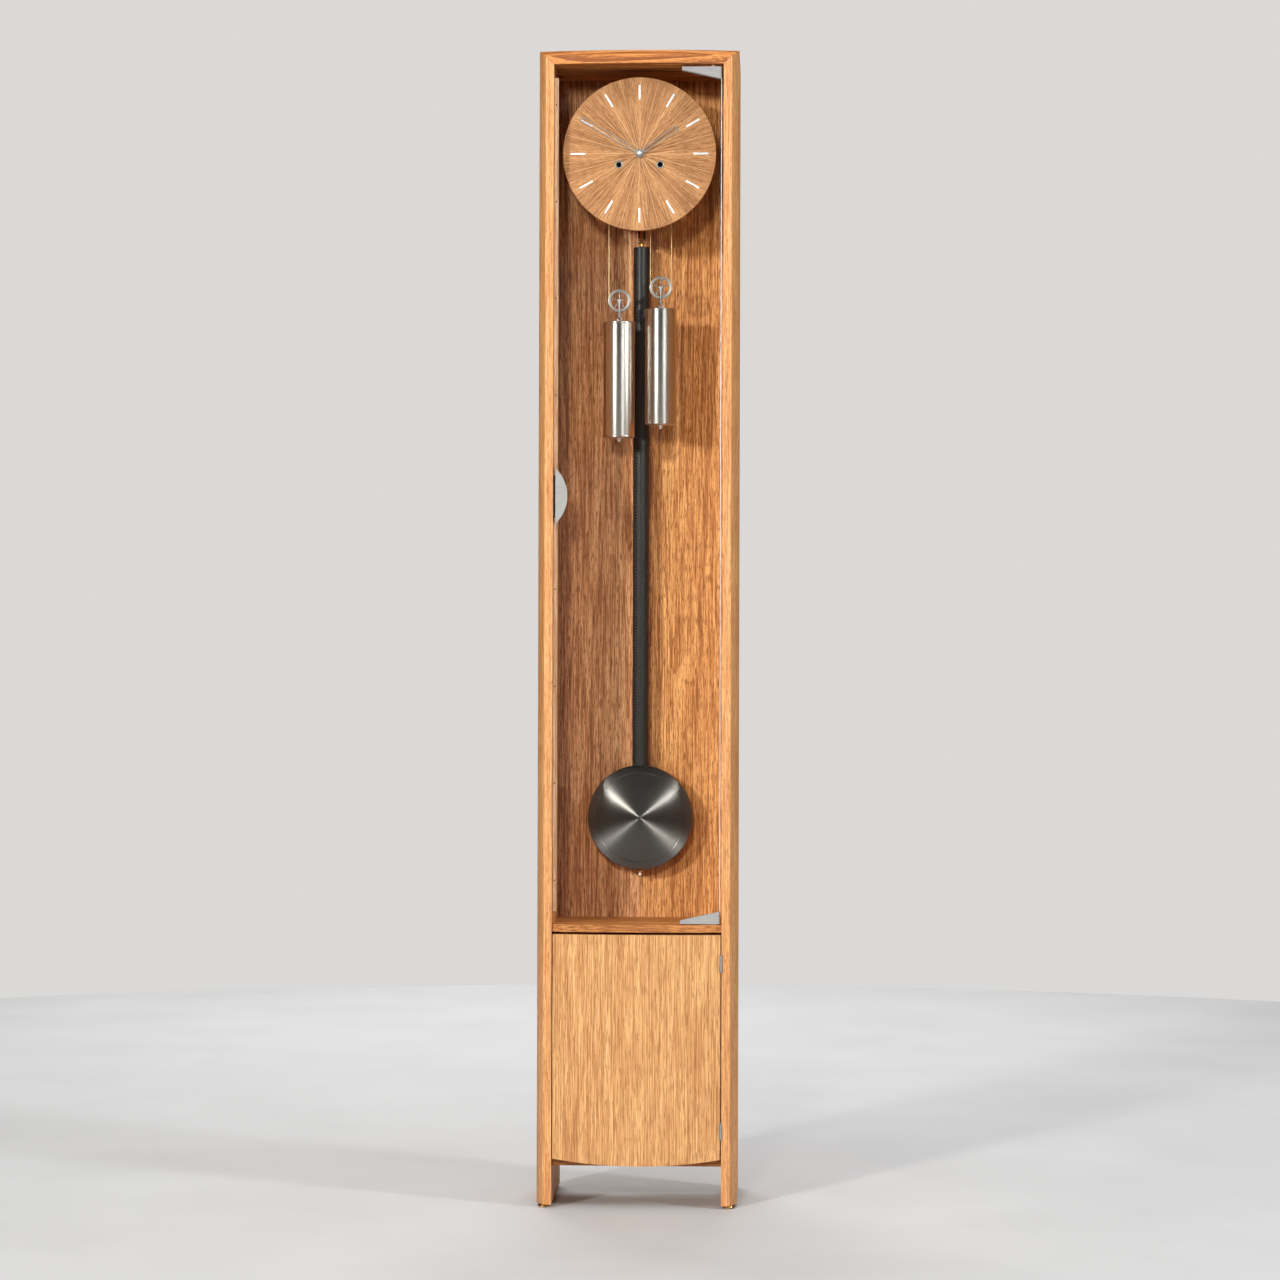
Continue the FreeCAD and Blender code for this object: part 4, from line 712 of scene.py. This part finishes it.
def make_cable(line):
    """Two taut strands, and the turn round the pulley."""
    node = f"{line}_cable"
    low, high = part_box(node)
    pulley = middle(f"{line}_pulley")
    radius = 0.7 * MM
    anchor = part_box("cable_anchors")[0][2]
    outward = 1 if pulley.x > 0 else -1
    wrap = 16.5 * MM
    for strand, x, top in (("wound", pulley.x + outward * wrap, high[2]),
                           ("hooked", pulley.x - outward * wrap, anchor)):
        mesh = bmesh.new()
        sweep(mesh, straight((x, pulley.y, pulley.z), (x, pulley.y, top), 24), radius)
        thing = smooth(from_bmesh(mesh, f"{line}_cable_{strand}"), 50)
        thing.data.materials.append(MATERIALS["cable_brass"])
        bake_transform(thing)
    mesh = bmesh.new()
    turns = [math.pi * step / 40 for step in range(41)]
    sweep(mesh, [pulley + wrap * Vector((math.cos(turn), 0, -math.sin(turn))) for turn in turns], radius)
    adopt(smooth(from_bmesh(mesh, f"{line}_cable_turn"), 50), node, [node])


# ---- dial furniture ----
def make_batons():
    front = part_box("dial_batons")[0][1]
    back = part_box("dial")[0][1]
    outer, long, half = 107 * MM, 23 * MM, 1.5 * MM
    mesh = bmesh.new()
    for hour in range(12):
        part = bmesh.new()
        block(part, (-half, front, outer - long), (half, back, outer), 0.3 * MM)
        turn = Matrix.Translation((DIAL.x, 0, DIAL.z)) @ Matrix.Rotation(math.radians(30 * hour), 4, "Y")
        bmesh.ops.transform(part, matrix=turn, verts=part.verts)
        data = bpy.data.meshes.new("baton")
        part.to_mesh(data)
        part.free()
        mesh.from_mesh(data)
        bpy.data.meshes.remove(data)
    adopt(smooth(from_bmesh(mesh, "hour_batons")), "dial_batons", ["dial_batons"])


def make_bush(mesh, x, z):
    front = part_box("winding_bushes")[0][1]
    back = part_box("winding_bushes")[1][1]
    bore, lip, sleeve = 4.2 * MM, 6.2 * MM, 5.2 * MM
    profile = rounded([(bore, 0), (bore + 0.9 * MM, 0), (lip, 0.5 * MM), (lip, 0.8 * MM), (sleeve, 0.8 * MM),
                       (sleeve, back - front), (bore, back - front)], 0.25 * MM, 3)
    rings = lathe(mesh, profile, (x, front, z), "Y", 64)
    join_rings(mesh, rings[-1], rings[0])


def make_bushes():
    mesh = bmesh.new()
    for drum in ("strike_drum", "time_drum"):
        make_bush(mesh, middle(drum).x, middle(drum).z)
    adopt(smooth(from_bmesh(mesh, "winding_sleeves"), 40), "winding_bushes", ["winding_bushes"], "hand_steel")
    # Painted shade: black sleeves inside the winding holes and black winding squares stand for the dark depth
    # of the holes.
    mesh = bmesh.new()
    front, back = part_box("winding_bushes")[0].y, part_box("winding_bushes")[1].y
    for drum in ("strike_drum", "time_drum"):
        hole_shade_sleeve = [(4.22 * MM, 0), (3.9 * MM, 0), (3.9 * MM, back - front), (4.22 * MM, back - front)]
        rings = lathe(mesh, hole_shade_sleeve, (middle(drum).x, front + 0.5 * MM, middle(drum).z), "Y", 48)
        join_rings(mesh, rings[-1], rings[0])
    adopt(smooth(from_bmesh(mesh, "winding_hole_shade"), 40), "winding_bushes", look_as="black_plastic")
    for drum in ("strike_drum", "time_drum"):
        low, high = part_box(drum)
        spot = middle(drum)
        mesh = bmesh.new()
        half = 2.0 * MM
        block(mesh, (spot.x - half, low.y - 0.6 * MM, spot.z - half),
              (spot.x + half, low.y + 2 * MM, spot.z + half),
              0.3 * MM)
        lathe(mesh, rounded([(0, 0), (2.8 * MM, 0), (2.8 * MM, 2 * MM), (0, 2 * MM)], 0.3 * MM),
              (spot.x, low.y - 0.1 * MM, spot.z), "Y", 32)
        adopt(smooth(from_bmesh(mesh, f"{drum}_square"), 40), drum, look_as="black_plastic")


def make_hand_nut():
    centre = middle("hand_nut")
    half, radius = size("hand_nut").y / 2, size("hand_nut").x / 2
    mesh = bmesh.new()
    lathe(mesh, rounded([(0, -half - 0.2 * MM), (1.6 * MM, -half), (radius - 1.2 * MM, -half + 0.4 * MM),
                         (radius, 0), (radius, half), (2 * MM, half)], 0.5 * MM), centre, "Y", 48)
    adopt(smooth(from_bmesh(mesh, "hand_nut_domed"), 50), "hand_nut", ["hand_nut"], "satin_steel")


# ---- case furniture ----
def make_bead_pins():
    """Dark pins in the front of the stop bead."""
    low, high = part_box("stop_bead")
    mesh = bmesh.new()
    count = 9
    span = high[2] - low[2]
    for pin in range(count):
        z = low[2] + span * (pin + 0.32) / (count - 0.4)
        lathe(mesh, rounded([(0, -0.35 * MM), (1.0 * MM, -0.3 * MM), (1.3 * MM, 0.1 * MM)], 0.2 * MM),
              ((low[0] + high[0]) / 2, low[1], z), "Y", 20)
    thing = smooth(from_bmesh(mesh, "bead_pins"), 40)
    adopt(thing, "handle_magnet")


def make_painted_edge_highlight():
    """A pale metal strip along the right edge of the glass, between the patch hinges: a painted highlight for
    the line of light that edge shows.
    """
    low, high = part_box("door_glass")
    foot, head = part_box("lower_patch_hinge")[1].z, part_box("upper_patch_hinge")[0].z
    mesh = bmesh.new()
    block(mesh, (high.x - 1.3 * MM, low.y + 0.1 * MM, foot),
          (high.x - 0.2 * MM, high.y - 0.1 * MM, head), 0.2 * MM)
    adopt(smooth(from_bmesh(mesh, "glass_edge_highlight")), "door_glass", look_as="bright_steel")


def make_feet():
    for node in [name for name in SLOT_OF if name.endswith("_foot")]:
        low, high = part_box(node)
        centre = middle(node)
        mesh = bmesh.new()
        radius = size(node).x / 2
        profile = [(0, 0), (radius - 1.4 * MM, 0), (radius, 0.9 * MM), (radius, 2.0 * MM),
                   (radius - 0.6 * MM, 2.2 * MM), (radius - 0.6 * MM, 2.7 * MM), (radius, 2.9 * MM),
                   (radius - 0.8 * MM, 4.2 * MM), (3 * MM, 4.2 * MM), (3 * MM, high[2] - low[2]),
                   (0, high[2] - low[2])]
        lathe(mesh, rounded(profile, 0.25 * MM, 2), (centre.x, centre.y, low[2]), "Z", 64)
        pad = from_bmesh(mesh, f"{node}_pad")
        mesh = bmesh.new()
        for turn in (20, 110):
            way = radius * 1.2 * Vector((math.cos(math.radians(turn)), math.sin(math.radians(turn)), 0))
            level = Vector((centre.x, centre.y, low[2] + 1.55 * MM))
            sweep(mesh, straight(level - way, level + way), 1.05 * MM, 24)
        carve(pad, from_bmesh(mesh, f"{node}_drill"))
        adopt(smooth(pad, 40), node, [node])


def make_back_screws():
    """Countersunk screws that hold the back panel, seen from behind."""
    low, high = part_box("back_panel")
    mesh = bmesh.new()
    rows = 7
    for side in (-1, 1):
        for row in range(rows):
            z = low[2] + 0.05 + (high[2] - low[2] - 0.10) * row / (rows - 1)
            lathe(mesh, rounded([(0, 0.25 * MM), (0.8 * MM, 0.2 * MM), (1.1 * MM, 0.7 * MM),
                                 (3.4 * MM, 0.6 * MM), (3.6 * MM, -0.1 * MM)], 0.2 * MM),
                  (side * (high[0] - 8 * MM), high[1], z), "Y", 24)
    adopt(smooth(from_bmesh(mesh, "back_screws"), 40), "seat_bolts")


EASED = {
    "left_side": 0.9, "right_side": 0.9, "top_board": 0.9, "shelf": 0.8, "cupboard_floor": 0.8,
    "cupboard_door": 1.0, "back_panel": 0.5, "stop_bead": 0.6, "seat_board": 0.8, "seat_cheeks": 0.8,
    "door_glass": 1.0, "upper_patch_hinge": 0.4, "lower_patch_hinge": 0.4, "door_handle": 0.25,
    "handle_magnet": 0.3, "cupboard_catch": 0.6, "cupboard_strike": 0.3, "dial": 0.5,
    "hour_hand": 0.2, "minute_hand": 0.2, "front_plate": 0.3, "back_plate": 0.3, "suspension_cock": 0.4,
    "pendulum_leader": 0.3,
}


def make_pieces():
    for node, width in EASED.items():
        soften(node, width * MM)
    make_bob()
    make_rod()
    make_rating_nut()
    make_leader()
    make_spring()
    for line in ("strike", "time"):
        make_weight(line)
        make_hanger(line)
        make_pulley(line)
        make_cable(line)
    make_batons()
    make_bushes()
    make_hand_nut()
    make_bead_pins()
    make_painted_edge_highlight()
    make_feet()
    make_back_screws()


# ---- set ----
FLOOR_RADIUS = 3.4
ROOM_GREY = (0.665, 0.655, 0.643, 1)
KEY_WHITE = (1.0, 0.98, 0.95)
FILL_WHITE = (0.94, 0.97, 1.0)


def make_floor():
    shade = Shade("studio_floor")
    grain = shade.noise(shade.place((3, 3, 3)), 1.0, 4.0)
    shade.set("Base Color", shade.ramp(grain, (0.3, (0.50, 0.50, 0.50)), (0.7, (0.54, 0.54, 0.54))))
    shade.set("Roughness", 0.6)
    mesh = bmesh.new()
    bmesh.ops.create_circle(mesh, cap_ends=True, radius=FLOOR_RADIUS, segments=128)
    floor = from_bmesh(mesh, "studio_floor")
    floor.data.materials.append(shade.material)


def area_light(name, at, target, wide, tall, power, colour=(1, 1, 1), gleams=True, floods=True):
    lamp = bpy.data.lights.new(name, "AREA")
    lamp.shape = "RECTANGLE"
    lamp.size, lamp.size_y = wide, tall
    lamp.energy = power
    lamp.color = colour
    thing = bpy.data.objects.new(name, lamp)
    thing.location = at
    thing.rotation_euler = (Vector(target) - Vector(at)).to_track_quat("-Z", "Y").to_euler()
    thing.visible_glossy = gleams
    thing.visible_diffuse = floods
    bpy.context.collection.objects.link(thing)


def make_lights():
    """Key from the left, weaker one near the middle, fill and metal glint from the right, soft light above,
    a rim lamp behind and a broad weak one in front for the inside walls."""
    bpy.context.scene.view_settings.view_transform = "Standard"
    world = bpy.data.worlds.new("studio")
    bpy.context.scene.world = world
    world.use_nodes = True
    back = world.node_tree.nodes["Background"]
    back.inputs["Color"].default_value = ROOM_GREY
    back.inputs["Strength"].default_value = 1.06
    world.cycles_visibility.diffuse = False
    world.cycles_visibility.glossy = False
    area_light("walls", (0, -7.5, 1.2), (0, 0, 1.2), 8.0, 2.4, 12)
    area_light("key", (-3.1, -5.1, 2.55), (0, 0, 1.1), 0.5, 0.5, 240, KEY_WHITE)
    area_light("front", (-0.52, -6.0, 2.3), (0, 0, 1.0), 0.5, 0.5, 125, KEY_WHITE, False)
    area_light("fill", (4.2, -2.3, 3.0), (0, 0, 1.0), 0.6, 1.2, 130, FILL_WHITE)
    area_light("glint", (2.7, -4.7, 2.5), (0, 0, 0.6), 0.5, 0.5, 150, floods=False)
    area_light("above", (0, -1.0, 4.6), (0, 0, 0), 4.0, 4.0, 130, gleams=False)
    area_light("rim", (-0.4, 3.4, 3.4), (0, 1.2, 0.4), 3.0, 2.0, 190, gleams=False)


def make_camera():
    """Long lens at the height of a table, a little to the clock's right, tipped up a touch."""
    azimuth = math.radians(2.3)
    distance = 5.106
    eye = Vector((distance * math.sin(azimuth), -distance * math.cos(azimuth), 0.839))
    tip = math.radians(0.42)
    lean = math.radians(0.155)
    turn = (Matrix.Rotation(azimuth, 4, "Z") @ Matrix.Rotation(math.radians(90) + tip, 4, "X")
            @ Matrix.Rotation(lean, 4, "Z"))
    lens = bpy.data.cameras.new("camera")
    lens.sensor_width = 36
    lens.lens = 91.3
    thing = bpy.data.objects.new("camera", lens)
    thing.matrix_world = Matrix.Translation(eye) @ turn
    bpy.context.collection.objects.link(thing)
    bpy.context.scene.camera = thing


make_camera()
dress_nodes()
make_pieces()
make_floor()
make_lights()
